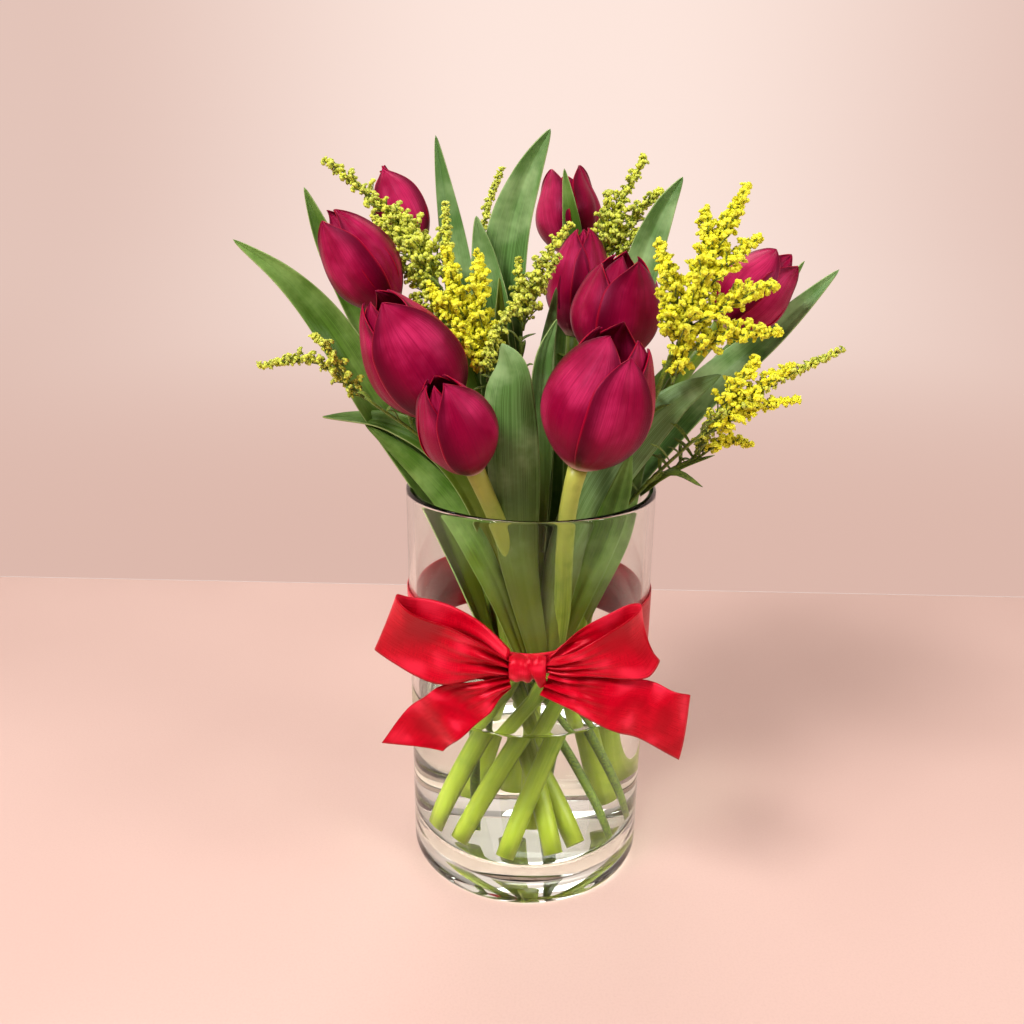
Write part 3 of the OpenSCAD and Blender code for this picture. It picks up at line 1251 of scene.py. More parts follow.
FRONT: Point = (0, -1, 0)
LEAVES = [
    Leaf(1, [(-16, -14, 113), (-27, -12, 144), (-39, -8, 175), (-50, -4, 201), (-72, -4, 237),
             (-93, -4, 272), (-112, -2, 294), (-136, 0, 311)],
         (1, -0.3, 0), (-0.2, -1, 0.5), 22, LeafTone.MID),
    Leaf(2, [(-15, 8, 108), (-28, 12, 154), (-44, 16, 200), (-69, 20, 249), (-95, 24, 301),
             (-108, 24, 334)], (1, -0.3, 0), FRONT, 20, LeafTone.MID),
    Leaf(3, [(-7, 14, 108), (-21, 22, 194), (-32, 32, 263), (-41, 38, 315), (-48, 40, 358)],
         FRONT, FRONT, 17, LeafTone.COOL),
    Leaf(4, [(-2, 6, 112), (-11, 10, 187), (-16, 14, 256), (-13, 16, 307), (-5, 16, 337),
             (6, 15, 359)], FRONT, FRONT, 23, LeafTone.COOL),
    Leaf(5, [(10, 18, 130), (13, 32, 223), (16, 42, 272), (18, 44, 310), (13, 44, 344)],
         FRONT, FRONT, 15, LeafTone.MID),
    Leaf(6, [(17, 14, 108), (28, 20, 185), (39, 26, 245), (50, 30, 298), (59, 30, 323),
             (68, 30, 340)], FRONT, FRONT, 19, LeafTone.COOL),
    Leaf(7, [(20, 0, 107), (30, 6, 152), (41, 12, 187), (78, 22, 234), (115, 27, 269),
             (145, 28, 300)], (-1, -0.3, 0), (0, -1, 0.5), 23, LeafTone.COOL),
    Leaf(8, [(24, 16, 131), (39, 22, 184), (75, 34, 229), (108, 40, 266), (132, 42, 303)],
         (-1, -0.3, 0), FRONT, 15, LeafTone.MID),
    # leaf 9 takes the PALE tone, painted lighter to make up for the shade of the bloom above it
    Leaf(9, [(10, -22, 118), (15, -26, 165), (27, -24, 196), (44, -20, 224), (62, -20, 244),
             (82, -26, 258)], FRONT, (0, -1, 0.6), 24, LeafTone.PALE, -0.7),
    Leaf(10, [(5, -24, 119), (-5, -34, 173), (-8, -40, 213), (-9, -42, 244), (-9, -42, 261),
              (-13, -40, 272)], FRONT, FRONT, 25, LeafTone.COOL, -0.8, 1.0, 0.7),
    Leaf(11, [(-11, -20, 151), (-27, -20, 197), (-44, -15, 220), (-63, -10, 229),
              (-81, -8, 232), (-98, -8, 232)], FRONT, (0, -0.6, 1), 12, LeafTone.MID),
    Leaf(12, [(-3, -20, 117), (-18, -24, 161), (-33, -20, 188), (-54, -14, 211),
              (-78, -10, 230)], (0.3, -1, 0), FRONT, 15, LeafTone.MID, -0.8),
    Leaf(13, [(5, -3, 165), (5, -6, 200), (4, -12, 236), (5, -18, 262), (10, -20, 280)],
         FRONT, FRONT, 11, LeafTone.COOL),
    Leaf(14, [(4, 3, 150), (6, 3, 200), (5, 2, 250), (10, 2, 292)], FRONT, FRONT, 11,
         LeafTone.COOL),
    Leaf(15, [(-5, 4, 158), (-12, 6, 229), (-18, 8, 276), (-23, 10, 300), (-27, 10, 322)],
         FRONT, FRONT, 18, LeafTone.COOL),
    Leaf(16, [(-5, 1, 160), (-8, 0, 210), (-14, 0, 263), (-16, 0, 296)], FRONT, FRONT, 8,
         LeafTone.WARM),
    Leaf(17, [(14, -18, 116), (24, -24, 151), (34, -28, 181), (40, -30, 206), (44, -30, 224)],
         FRONT, FRONT, 14, LeafTone.MID, -0.8),
    Leaf(18, [(19, -8, 111), (30, -12, 145), (39, -14, 173), (46, -14, 198), (53, -14, 225)],
         FRONT, FRONT, 14, LeafTone.MID, -0.8),
    Leaf(19, [(-10, 26, 112), (-18, 36, 160), (-26, 44, 200), (-40, 58, 250), (-50, 66, 288)],
         (0.3, -1, 0), FRONT, 22, LeafTone.MID),
    Leaf(20, [(8, 30, 112), (14, 40, 160), (22, 46, 200), (34, 70, 248), (40, 84, 280)],
         FRONT, FRONT, 24, LeafTone.MID),
    Leaf(21, [(24, 20, 114), (34, 28, 156), (42, 34, 198), (66, 50, 236), (90, 60, 262)],
         (-0.3, -1, 0), (0, -1, 0.4), 20, LeafTone.MID),
    Leaf(22, [(2, 4, 112), (6, 8, 160), (9, 12, 205), (10, 14, 250)], FRONT, FRONT, 18,
         LeafTone.MID),
    Leaf(23, [(14, -2, 114), (24, 2, 160), (36, 6, 205), (46, 10, 240)], FRONT,
         (0, -1, 0.3), 18, LeafTone.MID),
]


# ---------------------------------------------------------------- goldenrod


class Head(Enum):
    """How far a spray has opened."""

    BUD = "bud"
    FLOWER = "flower"


@dataclass(frozen=True)
class Spray:
    """One plume: its root, middle and tip, and how wide it is."""

    root: Point
    middle: Point
    tip: Point
    radius: float
    head: Head


class Sprigs:
    """Pattern sprigs, a short stalk with its florets, copied along every plume."""

    def __init__(self) -> None:
        """Models the florets and buds, then four sprigs of each kind."""
        self.stalk_skin = FloretFinish(
            "goldenrod_stalk", (62, 86, 14), (100, 128, 22), (146, 162, 46)
        ).make()
        self.flower_skin = FloretFinish(
            "goldenrod_flower", (196, 196, 4), (242, 238, 4), (255, 255, 72)
        ).make()
        self.bud_skin = FloretFinish(
            "goldenrod_bud", (148, 164, 20), (212, 220, 40), (248, 250, 124)
        ).make()
        rng = random.Random(31)
        self.kinds: dict[Head, list[bpy.types.Object]] = {
            head: [self.sprig(head, i, rng) for i in range(4)] for head in Head
        }

    def floret(self, head: Head, rng: random.Random) -> bpy.types.Object:
        """One open floret, a rough tuft, or one closed bud.

        Args:
            head: which it is.
            rng: where its small differences come from.

        Returns:
            The floret, about 1 mm in radius, at the origin.
        """
        Bench.clear()
        open_one = head is Head.FLOWER
        bpy.ops.mesh.primitive_ico_sphere_add(subdivisions=1, radius=MM)
        piece = bpy.context.active_object
        for vertex in piece.data.vertices:
            if open_one:
                vertex.co *= rng.choice((0.75, 1.0, 1.45))
            else:
                vertex.co *= rng.uniform(0.92, 1.08)
                vertex.co.z *= 1.35
        if not open_one:
            Bench.smooth(piece)
        Bench.dress(piece, self.flower_skin if open_one else self.bud_skin)
        return piece

    def sprig(self, head: Head, index: int, rng: random.Random) -> bpy.types.Object:
        """A 10 mm stalk along +X that arches upwards, with florets in loose tufts on it.

        Args:
            head: whether its florets are open.
            index: the pattern's number.
            rng: where its small differences come from.

        Returns:
            The pattern sprig, hidden once its copies are made.
        """
        path = [
            Vector((10 * t, 0, 2.2 * math.sin(2.2 * t))) for t in (0, 0.35, 0.7, 1)
        ]
        stalk = Bench.tube("stalk", path, [0.42, 0.36, 0.3, 0.22], 5)
        Bench.dress(stalk, self.stalk_skin)
        parts = [stalk]
        count = 22 if head is Head.FLOWER else 12
        for i in range(count):
            t = 0.28 + 0.76 * i / (count - 1)
            at = spline([tuple(p) for p in path], t)
            reach = 2.1 * (1.2 - 0.5 * t) * rng.uniform(0.5, 1.1)
            a = rng.uniform(-0.5, math.pi + 0.5)
            at += Vector((0, math.cos(a) * reach, 0.3 + math.sin(a) * reach * 0.9))
            smallest = 0.7 if head is Head.FLOWER else 0.75
            size = rng.uniform(smallest, 1.15)
            floret = self.floret(head, rng)
            turn = Matrix.Rotation(rng.uniform(0, 6.28), 4, "Z") @ Matrix.Rotation(
                rng.uniform(-0.8, 0.8), 4, "X"
            )
            floret.data.transform(
                Matrix.Translation(at * MM) @ turn @ Matrix.Scale(size, 4)
            )
            parts.append(floret)
        return Bench.join(f"sprig_{head.value}_{index}", parts)

    def discard(self) -> None:
        """Takes the pattern sprigs away."""
        for kind in self.kinds.values():
            for piece in kind:
                Bench.discard(piece)


@dataclass
class Goldenrod:
    """One goldenrod plant: its stem and branches, narrow leaves, and plumes."""

    name: str
    routes: list[list[Point]]
    sprays: list[Spray]
    blades: list[tuple[list[Point], float]] = field(default_factory=list)
    stem_radius: float = 2.0
    seed: int = 1

    def build_stem(self, skin: bpy.types.Material) -> bpy.types.Object:
        """The stem, its branches and its narrow leaves as one piece.

        Args:
            skin: its material.

        Returns:
            The stem.
        """
        parts = []
        for k, route in enumerate(self.routes):
            if k == 0:
                start = [Vector(route[0]).lerp(Vector(route[1]), i / 4) for i in range(4)]
                path = start + [spline(route[1:], i / 20) for i in range(21)]
                thick = self.stem_radius
            else:
                path = [spline(route, i / 14) for i in range(15)]
                thick = self.stem_radius * 0.55
            last = len(path) - 1
            radii = [thick * (1 - 0.45 * (i / last) ** 1.5) for i in range(last + 1)]
            parts.append(Bench.tube(f"branch_{k}", path, radii, 10))
        rng = random.Random(self.seed)
        for route in self.routes:
            low = route[1:] if route is self.routes[0] else route
            for i in range(7):
                at = spline(low, 0.42 + 0.54 * i / 6)
                a = 2.4 * i + self.seed
                out = Vector((math.cos(a), math.sin(a) * 0.7, 0.85)).normalized()
                long = rng.uniform(9, 17)
                end = at + out * long + Vector((0, 0, -2))
                middle = at.lerp(end, 0.5) + Vector((0, 0, 1.6))
                parts.append(
                    self.blade(f"blade_{i}", [tuple(at), tuple(middle), tuple(end)], 1.9)
                )
        for spine, width in self.blades:
            parts.append(self.blade("blade", spine, width))
        piece = Bench.join(f"goldenrod_{self.name}_stem", parts)
        Bench.dress(piece, skin)
        return piece

    def blade(self, name: str, spine: list[Point], width: float) -> bpy.types.Object:
        """A narrow leaf along a spine, its face up.

        Args:
            name: the piece's name.
            spine: three or more points along its middle.
            width: its greatest width.

        Returns:
            The leaf.
        """

        def place(u: float, v: float) -> Vector:
            """The narrow leaf's surface at part u across and v along.

            Args:
                u: the first part, 0 to 1.
                v: the second part, 0 to 1.

            Returns:
                The point, in mm.
            """
            s = 2 * u - 1
            along = (spline(spine, v + 0.02) - spline(spine, v - 0.02)).normalized()
            side = along.cross(Vector((0, -0.5, 1))).normalized()
            half = width / 2 * math.sin(math.pi * clamp(0.08 + 0.92 * v)) ** 0.7
            lift = side.cross(along) * (abs(s) * half * 0.4)
            return spline(spine, v) + side * half * s + lift

        piece = Bench.grid(name, 2, 10, place)
        Bench.weld(piece)
        Bench.thicken(piece, 0.35)
        Bench.smooth(piece)
        return piece

    def build_sprays(self, sprigs: Sprigs) -> bpy.types.Object:
        """All the plant's plumes as one piece.

        Args:
            sprigs: the pattern sprigs.

        Returns:
            The plumes.
        """
        parts = []
        rng = random.Random(self.seed + 77)
        for number, spray in enumerate(self.sprays):
            ends = [spray.root, spray.middle, spray.tip]
            length = (Vector(spray.tip) - Vector(spray.root)).length
            path = [spline(ends, i / 10) for i in range(11)]
            axis = Bench.tube(
                f"axis_{number}", path, [0.75 - 0.05 * i for i in range(11)], 6
            )
            Bench.dress(axis, sprigs.stalk_skin)
            parts.append(axis)
            flower = spray.head is Head.FLOWER
            count = max(9, round(length / (1.25 if flower else 1.4)))
            for i in range(count):
                t = (i + 0.6) / count
                at = spline(ends, t)
                along = (spline(ends, t + 0.02) - spline(ends, t - 0.02)).normalized()
                side = along.cross(Vector((0.3, 0.9, 0.2))).normalized()
                up = side.cross(along)
                a = i * 2.39996 + rng.uniform(-0.3, 0.3)
                out = side * math.cos(a) + up * math.sin(a)
                climb = mix(0.25, 1.1, t)
                aim = (out + along * climb + Vector((0, 0, 0.35))).normalized()
                over = (along - aim * along.dot(aim)).normalized()
                cross = over.cross(aim)
                reach = spray.radius * (1.5 - 0.8 * t**1.5) * rng.uniform(0.65, 1.15)
                k = reach / 10
                fat = mix(k, 1.0, 0.7)
                spin = Matrix(
                    (
                        (aim.x * k, cross.x * fat, over.x * fat, at.x * MM),
                        (aim.y * k, cross.y * fat, over.y * fat, at.y * MM),
                        (aim.z * k, cross.z * fat, over.z * fat, at.z * MM),
                        (0, 0, 0, 1),
                    )
                )
                pattern = rng.choice(sprigs.kinds[spray.head])
                parts.append(Bench.copy(pattern, spin))
        return Bench.join(f"goldenrod_{self.name}_sprays", parts)

    def build(self, sprigs: Sprigs) -> None:
        """Makes the plant and sets it in place.

        Args:
            sprigs: the pattern sprigs.
        """
        finish_piece(
            self.build_stem(sprigs.stalk_skin),
            "goldenrod_stem",
            f"goldenrod_stem_{self.name}",
        )
        finish_piece(
            self.build_sprays(sprigs),
            "goldenrod_flower",
            f"goldenrod_spray_{self.name}",
        )


GOLDENROD = [
    Goldenrod("left", [
        [(-20, -21, 23), (-19, 9, 100), (-26, 8, 180), (-34, 6, 250), (-39, 4, 298)],
        [(-26, 8, 180), (-44, -8, 216), (-73, -30, 246)]], [
        Spray((-43, 8, 300), (-66, 8, 322), (-91, 8, 342), 8, Head.BUD),
        Spray((-42, 4, 296), (-52, 5, 308), (-61, 6, 321), 7, Head.BUD),
        Spray((-38, 2, 290), (-40, 4, 307), (-40, 4, 323), 6, Head.BUD),
        Spray((-42, 2, 290), (-56, 2, 305), (-70, 4, 318), 8, Head.BUD),
        Spray((-38, -2, 278), (-49, -2, 289), (-58, 0, 298), 8, Head.BUD),
        Spray((-38, -4, 266), (-46, -4, 276), (-52, -4, 284), 7, Head.BUD),
        Spray((-74, -24, 244), (-94, -30, 261), (-115, -34, 260), 5, Head.BUD),
        Spray((-82, -28, 253), (-87, -32, 266), (-92, -32, 271), 4, Head.BUD)], seed=1),
    Goldenrod("middle", [
        [(40, -33, 23), (0, -5, 100), (-6, -14, 180), (-15, -20, 254)],
        [(-6, -14, 180), (-4, -8, 230), (-6, -4, 270)]], [
        Spray((-20, -16, 262), (-24, -15, 284), (-24, -14, 302), 8, Head.FLOWER),
        Spray((-24, -16, 266), (-34, -13, 287), (-38, -11, 304), 8, Head.FLOWER),
        Spray((-24, -16, 264), (-36, -14, 278), (-44, -13, 290), 7, Head.FLOWER),
        Spray((-19, -18, 262), (-14, -18, 276), (-8, -18, 286), 6, Head.BUD),
        Spray((-20, -20, 252), (-20, -23, 263), (-18, -22, 272), 5, Head.BUD),
        Spray((-22, -18, 254), (-26, -20, 264), (-30, -18, 274), 6, Head.FLOWER),
        Spray((-5, 0, 272), (0, -6, 296), (13, -9, 316), 7, Head.BUD),
        Spray((-3, -3, 278), (-6, -4, 290), (-7, -4, 301), 5, Head.BUD),
        Spray((-1, -4, 284), (4, -7, 294), (9, -9, 303), 5, Head.BUD)], seed=2),
    Goldenrod("right", [
        [(46, -15, 23), (13, -3, 100), (30, -8, 170), (46, -18, 220), (59, -32, 268)],
        [(30, -8, 170), (54, -18, 206), (76, -30, 234)],
        [(54, -18, 206), (66, -17, 213), (77, -18, 219)]], [
        Spray((60, -32, 268), (69, -35, 300), (83, -30, 331), 9, Head.FLOWER),
        Spray((65, -32, 290), (69, -35, 308), (69, -31, 322), 7, Head.FLOWER),
        Spray((66, -32, 286), (77, -36, 303), (89, -32, 313), 7, Head.FLOWER),
        Spray((62, -32, 278), (57, -32, 295), (52, -29, 309), 7, Head.FLOWER),
        Spray((65, -32, 278), (81, -36, 289), (96, -36, 295), 7, Head.FLOWER),
        Spray((64, -32, 268), (81, -35, 275), (98, -36, 277), 7, Head.FLOWER),
        Spray((60, -30, 254), (62, -31, 263), (64, -32, 271), 7, Head.FLOWER),
        Spray((62, -32, 272), (57, -32, 281), (53, -31, 291), 6, Head.FLOWER),
        Spray((76, -30, 236), (103, -34, 256), (127, -34, 269), 5, Head.BUD),
        Spray((80, -31, 242), (87, -34, 254), (92, -34, 262), 7, Head.FLOWER),
        Spray((82, -30, 240), (95, -34, 252), (106, -35, 261), 6, Head.FLOWER),
        Spray((76, -28, 231), (92, -32, 243), (110, -34, 248), 6, Head.FLOWER),
        Spray((77, -18, 219), (86, -20, 226), (96, -22, 226), 5, Head.FLOWER),
        Spray((74, -20, 221), (79, -22, 231), (85, -24, 239), 5, Head.BUD)],
        [([(51, -16, 199), (64, -20, 211), (78, -24, 206)], 4.5),
         ([(53, -14, 201), (68, -18, 213), (83, -20, 220)], 3.5)], seed=3),
    Goldenrod("back", [
        [(6, 44, 23), (13, 20, 100), (14, 30, 200), (22, 36, 260), (33, 38, 304)],
        [(14, 30, 200), (-10, 44, 256), (-28, 50, 305)]], [
        Spray((33, 38, 300), (39, 40, 323), (49, 40, 345), 8, Head.BUD),
        Spray((35, 38, 300), (33, 38, 315), (34, 38, 329), 7, Head.BUD),
        Spray((37, 38, 304), (46, 38, 319), (56, 38, 331), 7, Head.BUD),
        Spray((37, 36, 294), (42, 36, 304), (48, 36, 313), 6, Head.BUD),
        Spray((-28, 50, 305), (-24, 50, 324), (-18, 50, 341), 4, Head.BUD)], seed=4),
]


# ---------------------------------------------------------------- the ribbon


@dataclass
class Ribbon:
    """The satin ribbon: a band round the glass, and the bow at its front."""

    width: float = 32
    band_radius: float = 60.4
    band_middle: float = 132
    band_tilt: float = 2.5
    pinch: float = 4.5
    thickness: float = 0.35
    satin: bpy.types.Material = field(init=False)

    def finish_sheet(
        self,
        piece: bpy.types.Object,
        node: str,
    ) -> None:
        """Thickens and dresses a strip, and sets it in place of its solid.

        Args:
            piece: the strip as a single layer.
            node: the solid that it stands for.
        """
        Bench.thicken(piece, self.thickness)
        Bench.smooth(piece)
        Bench.dress(piece, self.satin)
        finish_piece(piece, "satin", node)

    def build_band(self) -> None:
        """The band, drawn together into folds where it meets the knot."""

        def place(u: float, v: float) -> Vector:
            """The band's surface at part u up and v round.

            Args:
                u: the first part, 0 to 1.
                v: the second part, 0 to 1.

            Returns:
                The point, in mm.
            """
            a = 2 * math.pi * (v % 1.0)
            x, y = math.sin(a), math.cos(a)
            off = abs((v % 1.0) - 0.5) / 0.5
            near = 1 - ease(clamp(off / 0.3))
            half = mix(self.width / 2, self.pinch, near)
            s = 2 * u - 1
            fold = 0.9 * near * math.cos(s * math.pi * 3.5)
            r = self.band_radius + abs(fold) + 0.15
            middle = self.band_middle - self.band_tilt * y
            return Vector((x * r, y * r, middle + half * s))

        piece = Bench.grid("ribbon_band_cloth", 20, 180, place)
        Bench.weld(piece)
        self.finish_sheet(
            piece, "ribbon_band",
        )

    def build_strip(
        self,
        name: str,
        top: Sequence[Point],
        bottom: Sequence[Point],
        fold_to: float,
        both_ends: bool,
        camber: float,
        seed: int,
    ) -> bpy.types.Object:
        """A length of ribbon between two edge curves, with folds that fan from the knot.

        Args:
            name: the piece's name.
            top: points along its upper edge, from the knot.
            bottom: points along its lower edge.
            fold_to: how far along the folds reach, 0 to 1.
            both_ends: whether its far end comes back to the knot too.
            camber: how far its middle bulges, in mm.
            seed: what its small differences come from.

        Returns:
            The strip as a single layer.
        """
        rng = random.Random(seed)
        shift = rng.uniform(0, 2 * math.pi)

        def ruled(u: float, v: float) -> Vector:
            """The straight line between the two edges at v, at part u across.

            Args:
                u: the first part, 0 to 1.
                v: the second part, 0 to 1.

            Returns:
                The point, in mm.
            """
            return spline(bottom, v).lerp(spline(top, v), u)

        def place(u: float, v: float) -> Vector:
            """The strip's surface at part u across and v along.

            Args:
                u: the first part, 0 to 1.
                v: the second part, 0 to 1.

            Returns:
                The point, in mm.
            """
            across = spline(top, v) - spline(bottom, v)
            along = ruled(0.5, v + 0.01) - ruled(0.5, v - 0.01)
            normal = along.cross(across).normalized()
            near = 1 - ease(v / fold_to)
            if both_ends:
                near = max(near, 1 - ease((1 - v) / fold_to))
            s = 2 * u - 1
            wide = 1 - ease(clamp(near))
            swell = camber * (1 - s * s) * (wide * 0.8 + 0.2)
            fold = 2.1 * near * near * math.cos(s * math.pi * 2.6 + shift * 0.3)
            fold += 0.9 * near * math.cos(s * math.pi * 5.2 + shift)
            slack = 1.7 * math.sin(14 * v + shift + 1.4 * s) * wide
            return ruled(u, v) + normal * (swell + fold + slack)

        return Bench.grid(name, 24, 72, place)

    def build_loops(self) -> None:
        """The bow's two loops, each out from the knot and back behind itself."""
        left = self.build_strip(
            "ribbon_left_loop",
            [(-8, -69, 140), (-19, -75, 150.5), (-30, -77, 157), (-40, -78, 162),
             (-49, -78, 167.5), (-55, -72, 171), (-51, -66, 168.5), (-43, -63, 166),
             (-32, -62, 161), (-20, -62.5, 153.5), (-8, -65, 142)],
            [(-8, -69, 132), (-21, -73, 132), (-35, -74, 130.5), (-47, -74, 133),
             (-58, -73, 138.5), (-66, -68, 143), (-61, -62.5, 139), (-50, -61.5, 133),
             (-36, -62, 129), (-21, -63, 128), (-8, -65, 129)],
            0.34, True, 1.6, 5,
        )
        self.finish_sheet(
            left, "ribbon_loop_left"
        )
        right = self.build_strip(
            "ribbon_right_loop",
            [(9, -69, 140), (15, -74, 144.5), (22, -77, 150), (33, -78, 157),
             (41, -77, 163), (46, -71, 167), (43, -65, 165), (36, -63, 161.5),
             (27, -62, 156), (18, -62, 148.5), (9, -65, 141)],
            [(9, -69, 136), (19, -73, 136), (31, -74, 136), (42, -74, 136), (52, -73, 136),
             (58.5, -67, 141), (54, -61.5, 137.5), (42, -61.5, 134), (31, -62, 133),
             (20, -63, 132.5), (9, -65, 133)],
            0.34, True, -1.6, 6,
        )
        self.finish_sheet(
            right, "ribbon_loop_right"
        )

    def build_tails(self) -> None:
        """The bow's two tails, cut on a slant."""
        left = self.build_strip(
            "ribbon_left_tail",
            [(-8, -69, 133), (-23, -72, 131), (-38, -72, 128), (-45, -72, 123),
             (-54, -71, 114), (-64, -70, 99)],
            [(-7, -69, 126), (-12, -71, 122), (-17, -73, 115), (-25, -75, 108),
             (-31, -75, 103), (-37, -74, 96)],
            0.6, False, 1.2, 7,
        )
        self.finish_sheet(
            left, "ribbon_tail_left",
        )
        right = self.build_strip(
            "ribbon_right_tail",
            [(10, -69, 135), (19, -71, 134), (33, -71, 134), (52, -72, 133),
             (62, -73, 130), (71, -72, 126)],
            [(6, -69, 124), (17, -73, 120), (28, -76, 115), (39, -77, 111),
             (50, -76, 106), (67, -73, 96)],
            0.6, False, 1.2, 8,
        )
        self.finish_sheet(
            right, "ribbon_tail_right",
        )

    def build_knot(self) -> None:
        """The knot: ribbon wound tightly round the bow's middle, in soft pleats."""
        middle = Vector((0, -67.5, 135.8))
        half, tall, deep = 8.1, 6.2, 5.4

        def place(u: float, v: float) -> Vector:
            """The knot's surface at part u along and v round.

            Args:
                u: the first part, 0 to 1.
                v: the second part, 0 to 1.

            Returns:
                The point, in mm.
            """
            s = 2 * u - 1
            a = 2 * math.pi * v
            split = 0.14 - 0.24 * math.cos(a)
            gap = math.exp(-(((s - split) / 0.13) ** 2))
            wrap = ease((s - split) / 0.4)
            pinch = 1 - 0.16 * abs(s) ** 3 - 0.24 * gap
            pleat = 1 + 0.04 * math.cos(s * math.pi * 3.1) + 0.03 * math.cos(9 * s + 2 * a)
            drop = 3.2 * wrap * (1 - math.cos(a)) / 2
            return middle + Vector((
                half * s,
                -deep * math.sin(a) * pinch * pleat,
                tall * math.cos(a) * pinch * pleat - drop,
            ))

        piece = Bench.grid("ribbon_knot_wrap", 22, 48, place)
        Bench.weld(piece)
        self.finish_sheet(piece, "ribbon_knot")

    def build(self) -> None:
        """Makes the whole ribbon and sets it in place."""
        self.satin = SatinFinish().make()
        self.build_band()
        self.build_knot()
        self.build_loops()
        self.build_tails()


# ---------------------------------------------------------------- the room


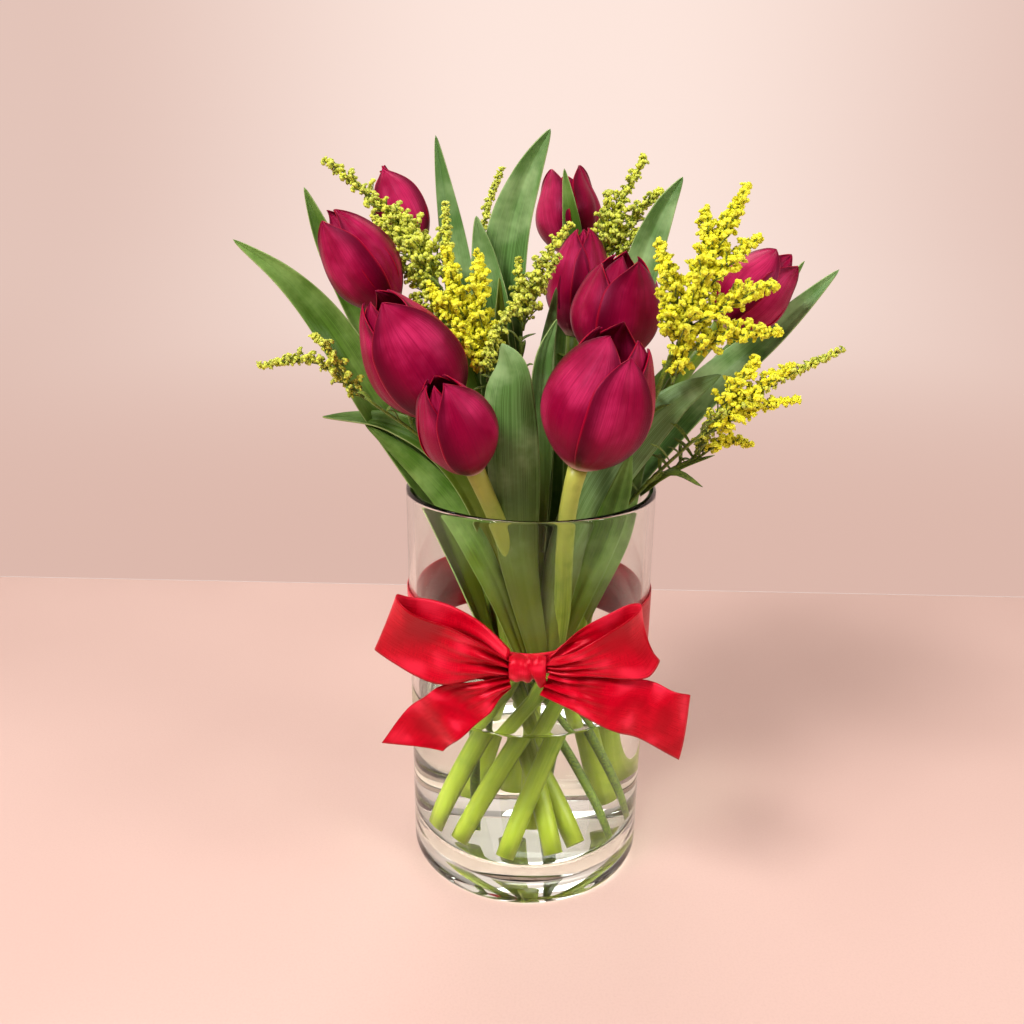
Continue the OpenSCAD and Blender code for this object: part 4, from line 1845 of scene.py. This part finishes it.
@dataclass
class Studio:
    """The pale table top, the soft lamps and the camera."""

    eye: Point = (0, -415, 325)
    yaw: float = -1.24
    pitch: float = 18.73
    roll: float = 0.66
    lens: float = 31.52
    floor_half: float = 3.0
    horizon: float = 0.332

    def build_floor(self) -> None:
        """The table top, whose back edge is a straight line behind the vase."""
        Bench.clear()
        bpy.ops.mesh.primitive_grid_add(x_subdivisions=8, y_subdivisions=8, size=2)
        floor = bpy.context.active_object
        floor.name = "table_top"
        for vertex in floor.data.vertices:
            y = mix(-self.floor_half, self.horizon, (vertex.co.y + 1) / 2)
            vertex.co = Vector((vertex.co.x * self.floor_half, y, 0))
        m = Mixer("table_top")
        grain = m.noise(m.coords("Object"), 900, 3)
        cloud = m.noise(m.coords("Object"), 3, 2)
        colour = m.blend(m.span(cloud, 0.3, 0.7), (208, 178, 168), (216, 186, 176))
        colour = m.blend(m.span(grain, 0.4, 0.7, (0, 0.2)), colour, (200, 168, 158))
        m.set(Base_Color=colour, Roughness=0.62, Specular_IOR_Level=0.2)
        m.bump(grain, 0.05, 0.3)
        Bench.dress(floor, m.material)

    def build_backdrop(self) -> None:
        """A pale backdrop that lies behind the table and rises well beyond it. It glows, with
        painted light: brighter high up and far back, darker low down and towards its sides.
        """
        deep, cove, high = 1.9, 0.5, 2.4

        def place(u: float, v: float) -> Vector:
            """The backdrop's surface at part u across and v up.

            Args:
                u: the first part, 0 to 1.
                v: the second part, 0 to 1.

            Returns:
                The point, in mm.
            """
            run = v * (deep + high)
            x = (u - 0.5) * 9
            if run < deep - cove:
                y, z = run, 0.0
            elif run < deep + cove:
                a = (run - deep + cove) / (2 * cove) * math.pi / 2
                y = deep - cove + math.sin(a) * cove * 4 / math.pi
                z = (1 - math.cos(a)) * cove * 4 / math.pi
            else:
                y = deep - cove + cove * 4 / math.pi
                z = cove * 4 / math.pi + run - deep - cove
            return Vector((x, self.horizon + y, z + 0.0005)) / MM

        piece = Bench.grid("backdrop", 12, 64, place)
        m = Mixer("backdrop")
        x, y, z = m.split(m.coords("Object"))
        # painted light: the backdrop glows by its own emission, brighter higher up and further
        # back, and darker towards its sides
        rise = m.calc("ADD", m.calc("MULTIPLY", y, 0.6), z)
        side = m.calc("ABSOLUTE", m.calc("SUBTRACT", x, 0.1))
        colour = m.blend(m.span(rise, 0.2, 1.5), (212, 176, 163), (250, 228, 218))
        fade = m.calc("MULTIPLY", m.span(side, 0.15, 1.5), 0.75)
        colour = m.blend(fade, colour, (214, 180, 168))
        m.set(
            Base_Color=(0.05, 0.04, 0.04, 1),
            Roughness=0.9,
            Emission_Color=colour,
            Emission_Strength=1.0,
            Specular_IOR_Level=0.0,
        )
        Bench.dress(piece, m.material)

    def build_world(self) -> None:
        """Pale light from all round, dimmer on the camera's side, with a pale far wall."""
        world = bpy.data.worlds.new("studio")
        world.use_nodes = True
        tree = world.node_tree
        shade = tree.nodes["Background"]
        shade.inputs["Color"].default_value = linear((252, 232, 224))
        source = tree.nodes.new("ShaderNodeTexCoord")
        parts = tree.nodes.new("ShaderNodeSeparateXYZ")
        fall = tree.nodes.new("ShaderNodeMapRange")
        span = {"From Min": -1.0, "From Max": 0.6, "To Min": 0.1, "To Max": 0.5}
        for key, value in span.items():
            fall.inputs[key].default_value = value
        path = tree.nodes.new("ShaderNodeLightPath")
        shown = tree.nodes.new("ShaderNodeMix")
        shown.inputs[3].default_value = 0.85
        tree.links.new(source.outputs["Generated"], parts.inputs[0])
        tree.links.new(parts.outputs["Y"], fall.inputs["Value"])
        tree.links.new(path.outputs["Is Camera Ray"], shown.inputs[0])
        tree.links.new(fall.outputs["Result"], shown.inputs[2])
        tree.links.new(shown.outputs[0], shade.inputs["Strength"])
        bpy.context.scene.world = world

    def lamp(self, name: str, at: Point, aim: Point, size: float, power: float) -> None:
        """One soft square lamp.

        Args:
            name: its name.
            at: where it stands, in mm.
            aim: the point it faces.
            size: its side, in mm.
            power: its power in watts.
        """
        data = bpy.data.lights.new(name, "AREA")
        data.size, data.energy = size * MM, power
        data.color = (1.0, 0.96, 0.93)
        made = bpy.data.objects.new(name, data)
        made.location = Vector(at) * MM
        made.rotation_euler = (Vector(aim) - Vector(at)).to_track_quat("-Z", "Y").to_euler()
        bpy.context.scene.collection.objects.link(made)

    def build_camera(self) -> None:
        """The camera, standing before the vase and looking a little down on it."""
        psi, theta, rho = (math.radians(a) for a in (self.yaw, self.pitch, self.roll))
        ahead = Vector((
            math.sin(psi) * math.cos(theta),
            math.cos(psi) * math.cos(theta),
            -math.sin(theta),
        ))
        level = Vector((math.cos(psi), -math.sin(psi), 0))
        over = level.cross(ahead)
        right = level * math.cos(rho) + over * math.sin(rho)
        up = over * math.cos(rho) - level * math.sin(rho)
        data = bpy.data.cameras.new("camera")
        data.lens, data.sensor_width = self.lens, 36
        camera = bpy.data.objects.new("camera", data)
        turn = Matrix((right, up, -ahead)).transposed().to_4x4()
        camera.matrix_world = Matrix.Translation(Vector(self.eye) * MM) @ turn
        bpy.context.scene.collection.objects.link(camera)
        bpy.context.scene.camera = camera

    def build(self) -> None:
        """Sets up the whole room."""
        self.build_camera()
        self.build_floor()
        self.build_backdrop()
        self.build_world()
        self.lamp("key", (-700, -700, 1200), (0, 0, 200), 420, 22)
        self.lamp("fill", (1000, -500, 900), (0, 0, 180), 420, 9)
        self.lamp("back", (-200, 900, 1300), (0, 0, 200), 700, 5)
        bpy.context.scene.view_settings.view_transform = "Standard"


def main() -> None:
    """Builds the room, the vase, the ribbon, the tulips and the goldenrod."""
    logging.basicConfig(level=logging.INFO, format="%(name)s %(message)s")
    Studio().build()
    Vase().build()
    Ribbon().build()
    pale = StemFinish("tulip_stem_pale", (178, 184, 82)).make()
    green = StemFinish("tulip_stem_green", (96, 128, 38)).make()
    petal_skin = PetalFinish().make()
    for tulip in TULIPS:
        tulip.build(pale if tulip.number in (3, 4) else green, petal_skin)
    leaf_skins = {tone: LeafFinish(tone).make() for tone in LeafTone}
    for leaf in LEAVES:
        leaf.build(leaf_skins)
    sprigs = Sprigs()
    for plant in GOLDENROD:
        plant.build(sprigs)
    sprigs.discard()


if __name__ == "__main__":
    main()
